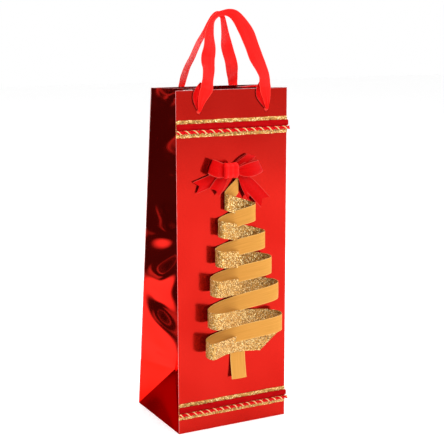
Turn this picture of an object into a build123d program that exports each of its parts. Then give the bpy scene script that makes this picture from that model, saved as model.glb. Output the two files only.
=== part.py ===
"""Tall gift bag for one bottle: folded foil-paper wrapper, ribbon handles, trim bands, ribbon tree and bow.

Millimetres. The origin is the middle of the base, on the surface the bag stands on. X runs along the
width, the decorated front faces -Y and +Z is up. The gussets are pushed in, as the bag stands when empty.
"""

import math
import os

from build123d import *

os.makedirs("parts", exist_ok=True)

# ---------------------------------------------------------------------------------------------
# Driving dimensions
# ---------------------------------------------------------------------------------------------

# Wrapper
bag_width = 125.0
bag_depth = 105.0
bag_height = 350.0
mouth_depth = 59.0  # the back panel leans forward, so the mouth is shallower than the base
paper = 0.5  # foil-laminated card
gusset_skin = 0.8  # measured along X, because the gussets slant across X
fold_steps = 8  # flat strips that make up one twisted gusset half
fit_gap = 0.3  # between sheets that lie close without being glued

# Floor of the bag
flap_overlap = 15.0  # each bottom flap passes the middle by this much
side_flap_reach = 36.0
board_thickness = 2.0

# Turned-in top edge and what it hides
hem_depth = 38.0
card_thickness = 1.0
card_depth = 35.0
card_side_clear = 6.0
card_top_clear = 0.6
seam_width = 15.0
seam_side_clear = 2.5
seam_end_clear = 2.0

# Handle holes, knots and handles
hole_inset = 24.5  # from the panels' side edges to the holes' middles
hole_drop = 21.0  # from the top edge to the holes' middles
hole_radius = 2.5
cord_gap = 0.6  # between the gathered ribbon and the hole's wall
stub_reach = 0.1  # how far the gathered ribbon stands out of the hole
knot_radius = 4.2
knot_length = 5.0
knot_round = 1.2
handle_rise = 76.0  # from the top edge to the middle of the ribbon where the two handles meet
handle_width = 15.0
handle_ribbon = 0.8
loop_pitch = 76.0  # between the two holes that the points of the handles' loops are set for
foot_width = 4.0
foot_radius = 1.4
foot_standoff = 2.2  # from the panel's face to the axis that the handle swings on
handle_meet_gap = 0.6  # between the two handles where they meet
edge_clear = 1.0  # height over the top edge at which a handle starts to lean in

# Trim bands: a glitter ribbon, with a velvet ribbon and a twisted cord laid along it
band_width = 17.0
band_thickness = 0.6
velvet_width = 6.4
velvet_thickness = 1.6
velvet_drop = 3.4  # from the band's top edge to the velvet's
cord_diameter = 3.8
trim_overhang = 1.8  # velvet and cord stand out past the panel's sides
top_band_drop = 46.0  # from the top edge to the upper band's lower edge
base_band_height = 15.0

# Ribbon tree
tree_ribbon_width = 17.0
tree_ribbon_thickness = 0.5
tree_back_gap = 0.9
tree_stations = 8  # flat facets in one pass of the ribbon
# How early a pass leaves its forward bulge for the panel, going left and going right
tree_warp_left = 0.80
tree_warp_right = 0.72
tree_cut_slope = 22.0  # run of the last pass's slanted end
# The turns of the ribbon, top to bottom, as (x, height, stand-off from the panel to the turn's middle)
tree_left_turns = [
    (-11.0, 238.0, 3.0),
    (-20.0, 212.0, 6.5),
    (-24.0, 182.5, 8.0),
    (-31.0, 153.5, 10.5),
    (-34.5, 121.0, 11.5),
    (-37.0, 90.0, 11.5),
]
tree_right_turns = [
    (5.0, 255.0, 1.0),
    (21.0, 227.0, 6.0),
    (31.0, 198.5, 7.5),
    (37.5, 172.0, 9.0),
    (45.0, 145.0, 10.0),
    (50.0, 110.5, 10.0),
    (41.5, 85.5, 1.8),
]
glue_dot_radius = 4.0
trunk_x = 5.0
trunk_top = 84.0
trunk_bottom = 51.0
trunk_lift = 6.0

# Bow
bow_x = -8.5
bow_height = 270.5
knot_wrap_width = 15.0
knot_wrap_height = 16.0
knot_wrap_depth = 9.0
bow_ribbon_width = 14.0
bow_ribbon_thickness = 0.6
knot_wrap_round = 2.5
front_loop_bulge = 9.0
rear_loop_bulge = 3.4
rear_loop_offset = 2.7
# Loops as (side, reach from the knot's middle, tilt in degrees)
front_loops = [(-1, 25.0, 14.0), (1, 34.0, 4.0)]
rear_loops = [(-1, 22.0, 12.0), (1, 32.5, 14.0)]
tail_width = 14.0
tail_notch = 6.0
tail_offset = 5.2
tail_layer_gap = 0.5
# Tails as (x and height where one leaves the knot, x and height of its end)
rear_tails = [((-12.0, 264.0), (-45.2, 254.0)), ((0.0, 266.0), (15.5, 241.0))]
front_tails = [((-9.5, 264.0), (-24.2, 248.8)), ((-1.0, 267.5), (33.7, 234.7))]
decor_room = 272.0  # height between the bands that the tree's and the bow's heights are set for

# ---------------------------------------------------------------------------------------------
# Sizes worked out from the driving dimensions
# ---------------------------------------------------------------------------------------------

half_width = bag_width / 2
half_depth = bag_depth / 2
front_y = -half_depth
hole_height = bag_height - hole_drop
top_band_height = bag_height - top_band_drop
base_band_top = base_band_height + band_width
decor_scale = (top_band_height - base_band_top) / decor_room
lean = math.atan((bag_depth - mouth_depth) / bag_height)
back_skin = paper / math.cos(lean)
crease_height = bag_depth / 2
board_top = 3 * paper + board_thickness


def back_y(height: float) -> float:
    """Outer face of the leaning back panel."""
    return half_depth - height * math.tan(lean)


def crease_y(height: float) -> float:
    """Middle crease of a gusset, half-way between the front and the back."""
    return (front_y + back_y(height)) / 2


def crease_inset(height: float) -> float:
    """How far the middle crease is pushed in, so that each gusset half keeps its paper width."""
    return math.sqrt(half_depth**2 - ((back_y(height) - front_y) / 2) ** 2)


def decor(height: float) -> float:
    """Height of a point of the tree or the bow, moved with the room between the two bands."""
    return base_band_top + (height - base_band_top) * decor_scale


front_inside = front_y + paper
foot_tilt = crease_inset(crease_height) * board_top / crease_height
floor_half_width = half_width - gusset_skin - foot_tilt - fit_gap
hem_bottom = bag_height - hem_depth
hem_half_width = half_width - card_side_clear
stub_radius = hole_radius - cord_gap
hem_stack = paper + card_thickness + paper
tail_front = tail_offset + tail_layer_gap + 1.5 * bow_ribbon_thickness
# Where along a pass the tree ribbon lies on the panel, as a share of the pass's width
flat_share = 0.75 ** (1 / tree_warp_right)
dot_share = (1 - math.cos(math.pi * flat_share)) / 2

front_panel_plane = Plane.XZ.offset(half_depth)
back_normal = (0, math.cos(lean), math.sin(lean))
back_panel_plane = Plane(origin=(0, half_depth, 0), x_dir=(-1, 0, 0), z_dir=back_normal)
hole_pitch = bag_width - 2 * hole_inset
holes = [(-hole_pitch / 2, hole_height), (hole_pitch / 2, hole_height)]
back_holes = [(x, height / math.cos(lean)) for x, height in holes]


# ---------------------------------------------------------------------------------------------
# Helpers, each used inside a BuildPart block
# ---------------------------------------------------------------------------------------------


def save(piece: BuildPart, name: str) -> None:
    """Label a finished piece and write its STEP file."""
    piece.part.label = name
    export_step(piece.part, f"parts/{name}.step")


def facet(corners: list[Vector], push: Vector) -> None:
    """Flat polygon with a thickness along push."""
    normal = (corners[1] - corners[0]).cross(corners[2] - corners[0])
    plane = Plane(origin=corners[0], x_dir=corners[1] - corners[0], z_dir=normal)
    with BuildSketch(plane) as face:
        with BuildLine():
            Polyline(*[plane.to_local_coords(corner) for corner in corners], close=True)
        make_face()
    extrude(face.sketch, amount=push.length, dir=push.normalized())


def gusset_half(side: int, rear: bool, start_skin: float, bottom: float) -> None:
    """Twisted half of a gusset, from bottom to the top edge, start_skin in from the outer face."""
    sections = []
    for step in range(fold_steps + 1):
        height = bottom + (bag_height - bottom) * step / fold_steps
        edge_y = back_y(height) - back_skin if rear else front_inside
        edge_x = half_width - start_skin
        crease_x = half_width - crease_inset(height) - start_skin
        with BuildSketch(Plane.XY.offset(height)) as section:
            with BuildLine():
                Polyline(
                    (side * edge_x, edge_y),
                    (side * crease_x, crease_y(height)),
                    (side * (crease_x - gusset_skin), crease_y(height)),
                    (side * (edge_x - gusset_skin), edge_y),
                    close=True,
                )
            make_face()
        sections.append(section.sketch)
    loft(sections, ruled=True)


def foot_facets(side: int) -> dict[str, list[Vector]]:
    """Corners of the three facets folded in under a gusset's level crease, by name."""
    front_base = Vector(side * half_width, front_inside, 0)
    back_base = Vector(side * half_width, back_y(0) - back_skin, 0)
    front_crease = Vector(side * half_width, front_inside, crease_height)
    back_crease = Vector(side * half_width, back_y(crease_height) - back_skin, crease_height)
    apex_x = side * (half_width - crease_inset(crease_height))
    apex = Vector(apex_x, crease_y(crease_height), crease_height)
    return {
        "base": [front_base, back_base, apex],
        "front": [front_base, front_crease, apex],
        "rear": [back_base, back_crease, apex],
    }


def strip_outline(route: list[tuple], widths: list[float]) -> list[tuple]:
    """Outline of a flat ribbon that follows route, with a width at each of its points."""
    left = []
    right = []
    for index, (x, y) in enumerate(route):
        x0, y0 = route[max(index - 1, 0)]
        x1, y1 = route[min(index + 1, len(route) - 1)]
        length = math.hypot(x1 - x0, y1 - y0)
        across_x = -(y1 - y0) / length * widths[index] / 2
        across_y = (x1 - x0) / length * widths[index] / 2
        left.append((x + across_x, y + across_y))
        right.append((x - across_x, y - across_y))
    return left + right[::-1]


def flat_strip(plane: Plane, outline: list[tuple], thickness: float) -> None:
    """Flat sheet with the given outline, its thickness half each side of the plane."""
    with BuildSketch(plane) as sheet:
        with BuildLine():
            Polyline(*outline, close=True)
        make_face()
    extrude(sheet.sketch, amount=thickness / 2, both=True)


# ---------------------------------------------------------------------------------------------
# Wrapper: front, back, gussets and floor
# ---------------------------------------------------------------------------------------------

with BuildPart() as front_panel:
    with BuildSketch(front_panel_plane):
        Rectangle(bag_width, bag_height, align=(Align.CENTER, Align.MIN))
        with Locations(*holes):
            Circle(hole_radius, mode=Mode.SUBTRACT)
    extrude(amount=-paper)
save(front_panel, "front_panel")

with BuildPart() as back_panel:
    with BuildSketch(back_panel_plane):
        Rectangle(bag_width, bag_height / math.cos(lean), align=(Align.CENTER, Align.MIN))
        with Locations(*back_holes):
            Circle(hole_radius, mode=Mode.SUBTRACT)
    extrude(amount=back_skin, dir=(0, -1, 0))
save(back_panel, "back_panel")

for side_name, side in (("left", -1), ("right", 1)):
    with BuildPart() as gusset_front:
        gusset_half(side, False, 0, crease_height)
    save(gusset_front, f"{side_name}_gusset_front")

    with BuildPart() as gusset_rear:
        gusset_half(side, True, 0, crease_height)
    save(gusset_rear, f"{side_name}_gusset_rear")

    for facet_name, corners in foot_facets(side).items():
        with BuildPart() as foot_facet:
            facet(corners, Vector(-side * gusset_skin, 0, 0))
        save(foot_facet, f"{side_name}_foot_{facet_name}")

    with BuildPart() as gusset_hem:
        gusset_half(side, False, gusset_skin, hem_bottom)
        gusset_half(side, True, gusset_skin, hem_bottom)
    save(gusset_hem, f"{side_name}_gusset_hem")

floor_front = front_inside + fit_gap
floor_back = back_y(board_top) - back_skin - fit_gap

with BuildPart() as bottom_back_flap:
    with BuildSketch(Plane.XY):
        with Locations((0, -flap_overlap)):
            Rectangle(
                2 * floor_half_width, floor_back + flap_overlap, align=(Align.CENTER, Align.MIN)
            )
    extrude(amount=paper)
save(bottom_back_flap, "bottom_back_flap")

with BuildPart() as bottom_front_flap:
    with BuildSketch(Plane.XY.offset(paper)):
        with Locations((0, floor_front)):
            Rectangle(
                2 * floor_half_width, flap_overlap - floor_front, align=(Align.CENTER, Align.MIN)
            )
    extrude(amount=paper)
save(bottom_front_flap, "bottom_front_flap")

with BuildPart() as bottom_side_flaps:
    with BuildSketch(Plane.XY.offset(2 * paper)):
        flap_middle = floor_half_width - side_flap_reach / 2
        with Locations((-flap_middle, floor_front), (flap_middle, floor_front)):
            Rectangle(side_flap_reach, floor_back - floor_front, align=(Align.CENTER, Align.MIN))
    extrude(amount=paper)
save(bottom_side_flaps, "bottom_side_flaps")

with BuildPart() as base_board:
    with BuildSketch(Plane.XY.offset(3 * paper)):
        with Locations((0, floor_front)):
            Rectangle(
                2 * floor_half_width, floor_back - floor_front, align=(Align.CENTER, Align.MIN)
            )
    extrude(amount=board_thickness)
save(base_board, "base_board")

# ---------------------------------------------------------------------------------------------
# Turned-in hems, reinforcing cards and the glued seam
# ---------------------------------------------------------------------------------------------

# Each side: sketch plane of its panel, direction into the bag, holes, and length along a leaning panel
wall_sides = {
    "front": (front_panel_plane, (0, 1, 0), holes, 1.0, 1.0),
    "back": (back_panel_plane, (0, -1, 0), back_holes, 1 / math.cos(lean), back_skin / paper),
}

for wall_name, (wall_plane, inward, wall_holes, stretch, skew) in wall_sides.items():
    card_plane = Plane(
        origin=wall_plane.origin + Vector(inward) * paper * skew,
        x_dir=wall_plane.x_dir,
        z_dir=wall_plane.z_dir,
    )
    hem_plane = Plane(
        origin=card_plane.origin + Vector(inward) * card_thickness * skew,
        x_dir=wall_plane.x_dir,
        z_dir=wall_plane.z_dir,
    )

    with BuildPart() as card:
        with BuildSketch(card_plane):
            with Locations((0, (bag_height - card_top_clear) * stretch)):
                Rectangle(
                    2 * hem_half_width, card_depth * stretch, align=(Align.CENTER, Align.MAX)
                )
            with Locations(*wall_holes):
                Circle(hole_radius, mode=Mode.SUBTRACT)
        extrude(amount=card_thickness * skew, dir=inward)
    save(card, f"{wall_name}_card")

    with BuildPart() as hem:
        with BuildSketch(hem_plane):
            with Locations((0, bag_height * stretch)):
                Rectangle(2 * hem_half_width, hem_depth * stretch, align=(Align.CENTER, Align.MAX))
            with Locations(*wall_holes):
                Circle(hole_radius, mode=Mode.SUBTRACT)
        extrude(amount=paper * skew, dir=inward)
    save(hem, f"{wall_name}_hem")

with BuildPart() as side_seam:
    seam_plane = Plane(origin=(0, half_depth - back_skin, 0), x_dir=(-1, 0, 0), z_dir=back_normal)
    seam_bottom = (board_top + seam_end_clear) / math.cos(lean)
    seam_top = (hem_bottom - seam_end_clear) / math.cos(lean)
    with BuildSketch(seam_plane):
        with Locations((-half_width + seam_side_clear, seam_bottom)):
            Rectangle(seam_width, seam_top - seam_bottom, align=(Align.MIN, Align.MIN))
    extrude(amount=back_skin, dir=(0, -1, 0))
save(side_seam, "side_seam")

# ---------------------------------------------------------------------------------------------
# Handles: a knotted end through each hole, and the ribbon loop that swings outside the panel
# ---------------------------------------------------------------------------------------------

top_edge_lean_start = bag_height + edge_clear
meet_y = (front_y + back_y(bag_height)) / 2

# The loop above the top edge, as (x, distance up the slope as a share of the rise, width share)
front_loop = [
    (-30.2, 0.00, 0.90),
    (-27.9, 0.11, 0.78),
    (-24.6, 0.24, 0.92),
    (-22.9, 0.36, 1.03),
    (-19.3, 0.52, 0.85),
    (-16.2, 0.70, 0.72),
    (-10.5, 0.86, 0.42),
    (-3.5, 0.94, 0.36),
    (3.5, 0.98, 0.42),
    (10.0, 0.98, 0.62),
    (16.0, 0.94, 0.82),
    (21.0, 0.85, 0.94),
    (25.6, 0.73, 1.05),
    (28.6, 0.60, 1.10),
    (31.3, 0.41, 1.02),
    (34.4, 0.25, 0.90),
    (36.1, 0.14, 0.84),
    (35.5, 0.00, 0.80),
]
back_loop = [
    (-26.3, 0.00, 0.46),
    (-21.8, 0.24, 0.39),
    (-17.1, 0.41, 0.35),
    (-12.5, 0.62, 0.36),
    (-6.5, 0.86, 0.38),
    (-1.0, 0.95, 0.36),
    (5.0, 0.93, 0.36),
    (9.0, 0.83, 0.52),
    (14.0, 0.66, 0.72),
    (20.0, 0.46, 0.88),
    (25.5, 0.31, 0.98),
    (29.5, 0.18, 0.93),
    (32.2, 0.09, 0.80),
    (33.2, 0.00, 0.70),
]


def handle(route: list[tuple], outward: int, panel_lean: float) -> None:
    """Ribbon loop with a gathered foot at each end; outward is -1 for the front, 1 for the back."""
    face_at_hole = front_y if outward < 0 else back_y(hole_height)
    axis_y = face_at_hole + outward * foot_standoff
    climb = top_edge_lean_start - hole_height
    bend_y = axis_y - climb * math.tan(panel_lean)
    ribbon_meet_y = meet_y + outward * (handle_meet_gap + handle_ribbon) / 2
    slope = Vector(0, ribbon_meet_y - bend_y, handle_rise)
    loop_plane = Plane(
        origin=(0, bend_y, top_edge_lean_start),
        x_dir=(1, 0, 0),
        z_dir=Vector(1, 0, 0).cross(slope),
    )
    loop_scale = hole_pitch / loop_pitch
    centre_line = [(x * loop_scale, share * slope.length) for x, share, _ in route]
    widths = [share * handle_width for _, _, share in route]
    flat_strip(loop_plane, strip_outline(centre_line, widths), handle_ribbon)

    leg_slope = Vector(0, bend_y - axis_y, climb)
    leg_plane = Plane(
        origin=(0, axis_y, hole_height), x_dir=(1, 0, 0), z_dir=Vector(1, 0, 0).cross(leg_slope)
    )
    for hole_x, end in ((-hole_pitch / 2, route[0]), (hole_pitch / 2, route[-1])):
        end_x = end[0] * loop_scale
        half_end = end[2] * handle_width / 2
        outline = [
            (hole_x - foot_width / 2, 0),
            (hole_x + foot_width / 2, 0),
            (end_x + half_end, leg_slope.length),
            (end_x - half_end, leg_slope.length),
        ]
        flat_strip(leg_plane, outline, handle_ribbon)
        foot_plane = Plane(
            origin=(hole_x - foot_width / 2, axis_y, hole_height), x_dir=(0, 1, 0), z_dir=(1, 0, 0)
        )
        with BuildSketch(foot_plane) as foot_end:
            Circle(foot_radius)
        extrude(foot_end.sketch, amount=foot_width)


with BuildPart() as front_handle:
    handle(front_loop, -1, 0.0)
save(front_handle, "front_handle_ribbon")

with BuildPart() as back_handle:
    handle(back_loop, 1, lean)
save(back_handle, "back_handle_ribbon")

for wall_name, (wall_plane, inward, wall_holes, stretch, skew) in wall_sides.items():
    into = inward[1]
    outside = front_y if into > 0 else back_y(hole_height)
    stub_plane = Plane(
        origin=(0, outside - into * stub_reach, hole_height), x_dir=(1, 0, 0), z_dir=(0, into, 0)
    )
    stack = hem_stack * skew + stub_reach
    with BuildPart() as knots:
        with BuildSketch(stub_plane):
            with Locations((-hole_pitch / 2, 0), (hole_pitch / 2, 0)):
                Circle(stub_radius)
        extrude(amount=stack + fit_gap + knot_radius * math.tan(lean))
        with BuildSketch(stub_plane.offset(stack + fit_gap + knot_radius * math.tan(lean))):
            with Locations((-hole_pitch / 2, 0), (hole_pitch / 2, 0)):
                Circle(knot_radius)
        extrude(amount=knot_length)
        knot_rims = knots.edges().filter_by(GeomType.CIRCLE)
        fillet(knot_rims.filter_by(lambda edge: edge.radius > stub_radius), knot_round)
    save(knots, f"{wall_name}_knots")

# ---------------------------------------------------------------------------------------------
# Trim bands
# ---------------------------------------------------------------------------------------------

band_plane = front_panel_plane
over_band_plane = front_panel_plane.offset(band_thickness)

for band_name, band_bottom in (("top", top_band_height), ("base", base_band_height)):
    velvet_top = band_bottom + band_width - velvet_drop
    velvet_bottom = velvet_top - velvet_width

    with BuildPart() as glitter_ribbon:
        with BuildSketch(band_plane):
            with Locations((0, band_bottom)):
                Rectangle(bag_width, band_width, align=(Align.CENTER, Align.MIN))
        extrude(amount=band_thickness)
    save(glitter_ribbon, f"{band_name}_glitter_ribbon")

    with BuildPart() as velvet_ribbon:
        with BuildSketch(over_band_plane):
            with Locations((trim_overhang / 2, velvet_bottom)):
                Rectangle(bag_width + trim_overhang, velvet_width, align=(Align.CENTER, Align.MIN))
        extrude(amount=velvet_thickness)
    save(velvet_ribbon, f"{band_name}_velvet_ribbon")

    with BuildPart() as twisted_cord:
        cord_y = front_y - band_thickness - cord_diameter / 2
        cord_z = velvet_bottom - cord_diameter / 2
        with BuildSketch(Plane(origin=(-half_width, cord_y, cord_z), z_dir=(1, 0, 0))):
            Circle(cord_diameter / 2)
        extrude(amount=bag_width + trim_overhang)
    save(twisted_cord, f"{band_name}_twisted_cord")

# ---------------------------------------------------------------------------------------------
# Ribbon tree: one ribbon on edge, winding from side to side, and its trunk
# ---------------------------------------------------------------------------------------------


def tree_pass(start: tuple, end: tuple, warp: float) -> list[tuple]:
    """Points (x, stand-off, height) of one pass: it bulges forward first, then lies on the panel."""
    points = []
    for station in range(tree_stations):
        share = station / tree_stations
        across = (1 - math.cos(math.pi * share)) / 2
        middle = start[2] + (end[2] - start[2]) * across
        off = middle * (1 + math.sin(2 * math.pi * share**warp))
        x = start[0] + (end[0] - start[0]) * across
        height = start[1] + (end[1] - start[1]) * across
        points.append((x, off + tree_back_gap, decor(height)))
    return points


tree_route = []
for index, left_turn in enumerate(tree_left_turns):
    tree_route += tree_pass(tree_right_turns[index], left_turn, tree_warp_left)
    tree_route += tree_pass(left_turn, tree_right_turns[index + 1], tree_warp_right)
last_turn = tree_right_turns[-1]
tree_route.append((last_turn[0], last_turn[2] + tree_back_gap, decor(last_turn[1])))

with BuildPart() as tree_ribbon:
    stations = []
    last = len(tree_route) - 1
    for index, (x, off, height) in enumerate(tree_route):
        x0, off0, _ = tree_route[max(index - 1, 0)]
        x1, off1, _ = tree_route[min(index + 1, last)]
        along = Vector(x1 - x0, off0 - off1, 0)
        station_plane = Plane(
            origin=(x, front_y - off, height), x_dir=Vector(0, 0, 1), z_dir=along
        )
        with BuildSketch(station_plane, mode=Mode.PRIVATE) as station:
            Rectangle(tree_ribbon_width, tree_ribbon_thickness)
        stations.append(station.sketch)
    facets = [
        loft([near, far], ruled=True, mode=Mode.PRIVATE)
        for near, far in zip(stations, stations[1:])
    ]
    add(facets)
    with BuildSketch(front_panel_plane):
        with BuildLine():
            cut_top = decor(last_turn[1]) + tree_ribbon_width
            cut_bottom = decor(last_turn[1]) - tree_ribbon_width
            Polyline(
                (last_turn[0] + tree_cut_slope, cut_top),
                (last_turn[0] + tree_cut_slope, cut_bottom),
                (last_turn[0] - tree_cut_slope, cut_bottom),
                close=True,
            )
        make_face()
    extrude(amount=2 * last_turn[2] + 2 * tree_back_gap, mode=Mode.SUBTRACT)
save(tree_ribbon, "tree_ribbon")

# The trunk keeps its place under the last pass, wherever that pass comes to lie.
last_left_turn = tree_left_turns[-1]
trunk_share = (trunk_x - last_left_turn[0]) / (last_turn[0] - last_left_turn[0])
pass_height = last_left_turn[1] + (last_turn[1] - last_left_turn[1]) * trunk_share
trunk_shift = decor(pass_height) - pass_height
with BuildPart() as trunk_ribbon:
    with BuildSketch(Plane.YZ.offset(trunk_x - tree_ribbon_width / 2)):
        with BuildLine():
            outer = Line(
                (front_y - tree_ribbon_thickness, trunk_top + trunk_shift),
                (front_y - trunk_lift, trunk_bottom + trunk_shift),
            )
            Polyline(
                outer @ 1,
                (front_y - trunk_lift + tree_ribbon_thickness, trunk_bottom + trunk_shift),
                (front_y, trunk_top + trunk_shift),
                outer @ 0,
            )
        make_face()
    extrude(amount=tree_ribbon_width)
save(trunk_ribbon, "trunk_ribbon")

with BuildPart() as glue_dots:
    dot_height = tree_back_gap - tree_ribbon_thickness / 2 - paper / 10
    dot_places = []
    for left_turn, right_turn in zip(tree_left_turns, tree_right_turns[1:]):
        dot_x = left_turn[0] + (right_turn[0] - left_turn[0]) * dot_share
        dot_z = left_turn[1] + (right_turn[1] - left_turn[1]) * dot_share
        dot_places.append((dot_x, decor(dot_z)))
    with BuildSketch(front_panel_plane):
        with Locations(*dot_places):
            Circle(glue_dot_radius)
    extrude(amount=dot_height)
    with BuildSketch(front_panel_plane):
        with Locations((bow_x, decor(bow_height))):
            Circle(glue_dot_radius)
    extrude(amount=tail_offset - bow_ribbon_thickness / 2)
save(glue_dots, "glue_dots")

# ---------------------------------------------------------------------------------------------
# Bow: rear loops, two layers of tails, front loops and the wrap over the middle
# ---------------------------------------------------------------------------------------------


def bow_loop(side: int, reach: float, bulge: float, offset: float, tilt: float) -> None:
    """Closed loop of ribbon that leaves the knot sideways, its width in the panel's plane."""
    angle = math.radians(tilt)
    out = Vector(side * math.cos(angle), 0, math.sin(angle))
    across = Vector(-side * math.sin(angle), 0, math.cos(angle))
    root = (knot_wrap_width / 2 + fit_gap) / math.cos(angle) + bow_ribbon_width / 2 * math.tan(angle)
    long_radius = (reach - root) / 2
    centre = (bow_x, front_y - offset, decor(bow_height))
    with BuildSketch(Plane(origin=centre, x_dir=out, z_dir=across)) as loop:
        with Locations((reach - long_radius, 0)):
            Ellipse(long_radius, bulge / 2)
            Ellipse(
                long_radius - bow_ribbon_thickness,
                bulge / 2 - bow_ribbon_thickness,
                mode=Mode.SUBTRACT,
            )
    extrude(loop.sketch, amount=bow_ribbon_width / 2, both=True)


def bow_tail(root: tuple, end: tuple, offset: float) -> None:
    """Flat tail from its root at the knot to its end, cut in a V."""
    start = Vector(root[0], decor(root[1]))
    tip = Vector(end[0], decor(end[1]))
    along = (tip - start).normalized()
    side = Vector(-along.Y, along.X) * tail_width / 2
    corners = [start + side, tip + side, tip - along * tail_notch, tip - side, start - side]
    flat_strip(
        front_panel_plane.offset(offset), [(c.X, c.Y) for c in corners], bow_ribbon_thickness
    )


with BuildPart() as bow_rear_loops:
    for side, reach, tilt in rear_loops:
        bow_loop(side, reach, rear_loop_bulge, rear_loop_offset, tilt)
save(bow_rear_loops, "bow_rear_loops")

with BuildPart() as bow_rear_tails:
    for tail_root, tail_end in rear_tails:
        bow_tail(tail_root, tail_end, tail_offset)
save(bow_rear_tails, "bow_rear_tails")

with BuildPart() as bow_front_tails:
    for tail_root, tail_end in front_tails:
        bow_tail(tail_root, tail_end, tail_offset + bow_ribbon_thickness + tail_layer_gap)
save(bow_front_tails, "bow_front_tails")

front_loop_offset = tail_front + fit_gap + front_loop_bulge / 2

with BuildPart() as bow_front_loops:
    for side, reach, tilt in front_loops:
        bow_loop(side, reach, front_loop_bulge, front_loop_offset, tilt)
save(bow_front_loops, "bow_front_loops")

with BuildPart() as bow_knot_wrap:
    with BuildSketch(front_panel_plane.offset(tail_front + fit_gap)):
        with Locations((bow_x, decor(bow_height))):
            Rectangle(knot_wrap_width, knot_wrap_height)
    extrude(amount=knot_wrap_depth)
    fillet(bow_knot_wrap.edges().filter_by(Axis.Z), knot_wrap_round)
save(bow_knot_wrap, "bow_knot_wrap")
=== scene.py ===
"""Looks of the bottle gift bag: foil wrapper, trim bands, ribbon tree, bow and handles.

Shapes are worked out in millimetres in the part's own frame and written to meshes in metres.
"""

import logging
import math
from dataclasses import dataclass, field
from enum import IntEnum
from typing import Callable, Sequence

import bmesh
import bpy
import numpy as np
from mathutils import Matrix, Vector, geometry

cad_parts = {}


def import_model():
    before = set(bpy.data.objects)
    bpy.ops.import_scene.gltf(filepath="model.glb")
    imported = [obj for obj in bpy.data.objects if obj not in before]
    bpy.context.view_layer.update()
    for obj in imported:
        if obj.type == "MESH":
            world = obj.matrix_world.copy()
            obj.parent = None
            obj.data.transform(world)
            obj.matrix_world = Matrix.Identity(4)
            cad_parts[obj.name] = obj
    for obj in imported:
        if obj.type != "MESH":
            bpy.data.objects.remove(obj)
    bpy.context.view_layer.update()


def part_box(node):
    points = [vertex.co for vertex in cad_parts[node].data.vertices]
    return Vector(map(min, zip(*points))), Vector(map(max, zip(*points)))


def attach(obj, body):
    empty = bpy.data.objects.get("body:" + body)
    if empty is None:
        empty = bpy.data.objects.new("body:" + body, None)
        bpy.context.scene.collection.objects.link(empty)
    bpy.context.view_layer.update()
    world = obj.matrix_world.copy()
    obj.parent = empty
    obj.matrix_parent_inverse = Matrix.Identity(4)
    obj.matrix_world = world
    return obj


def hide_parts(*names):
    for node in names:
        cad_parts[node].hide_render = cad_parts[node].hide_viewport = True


LOG = logging.getLogger("gift_bag")
MM = 0.001
BAG = "bag"

# The handle holes of a panel, in millimetres: from one to the other, and up to both.
HOLE_PITCH = 76.0
HOLE_HEIGHT = 329.0

# Where the foil is painted pale along its folds, as wear and a painted fold highlight, in metres: the
# side folds, each way from the middle, and the top edge.
FOLD_WEAR_AND_HIGHLIGHT = {"half_width": 0.0625, "top": 0.35}

Triple = tuple[float, float, float]
Colour = Triple
Spot = tuple[float, float]
Points = np.ndarray
Faces = Sequence[Sequence[int]]
Material = bpy.types.Material
Piece = bpy.types.Object
Node = bpy.types.Node
Socket = bpy.types.NodeSocket
Sockets = dict[str, Socket]
Tree = bpy.types.NodeTree
Values = dict[str | int, object]


class Face(IntEnum):
    """Which side of a two-faced ribbon or card a mesh face belongs to."""

    FRONT = 0
    BACK = 1
    EDGE = 2


# ---- Mesh helpers ----


def run(points: Points) -> Points:
    """Return the length along a line of points, at each of them."""
    steps = np.linalg.norm(np.diff(points, axis=0), axis=1)
    return np.concatenate([[0.0], np.cumsum(steps)])


def lattice(x: Points, y: Points, z: Points) -> Points:
    """Return a grid of points from rows and columns of coordinates."""
    return np.stack(np.broadcast_arrays(x, y, z), axis=-1)


def new_object(name: str, data: bpy.types.ID) -> Piece:
    """Make an object of some data and link it to the scene."""
    piece = bpy.data.objects.new(name, data)
    bpy.context.scene.collection.objects.link(piece)
    return piece


def unit(vectors: Points) -> Points:
    """Return the vectors scaled to length one."""
    length = np.linalg.norm(vectors, axis=-1, keepdims=True)
    return vectors / np.maximum(length, 1e-12)


def smoothstep(value: Points | float) -> Points | float:
    """Return the smooth 0 to 1 ramp of a value that is cut to that range."""
    clipped = np.clip(value, 0.0, 1.0)
    return clipped * clipped * (3.0 - 2.0 * clipped)


def spline(points: Sequence[Sequence[float]], count: int) -> Points:
    """Run a smooth line through points.

    Args:
        points: rows of numbers, one row for each point.
        count: how many rows the result has.

    Returns:
        Rows evenly spread over the line's own length.
    """
    knots = np.array(points, float)
    padded = np.vstack([2 * knots[0] - knots[1], knots, 2 * knots[-1] - knots[-2]])
    dense = []
    for index in range(len(knots) - 1):
        p0, p1, p2, p3 = padded[index : index + 4]
        t = np.linspace(0.0, 1.0, 24, endpoint=False)[:, None]
        bend = (2 * p0 - 5 * p1 + 4 * p2 - p3) * t**2 + (3 * p1 - p0 - 3 * p2 + p3) * t**3
        dense.append(0.5 * (2 * p1 + (p2 - p0) * t + bend))
    line = np.vstack([*dense, knots[-1][None]])
    length = run(line)
    wanted = np.linspace(0.0, length[-1], count)
    return np.stack([np.interp(wanted, length, column) for column in line.T], axis=1)


def grid_faces(rows: int, columns: int, ring: bool = False) -> list[list[int]]:
    """Return the quads of a grid of points, its last row joined to its first when ring is set."""
    faces = []
    for i in range(rows if ring else rows - 1):
        here, after = i * columns, (i + 1) % rows * columns
        faces += [[here + j, after + j, after + j + 1, here + j + 1] for j in range(columns - 1)]
    return faces


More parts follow.
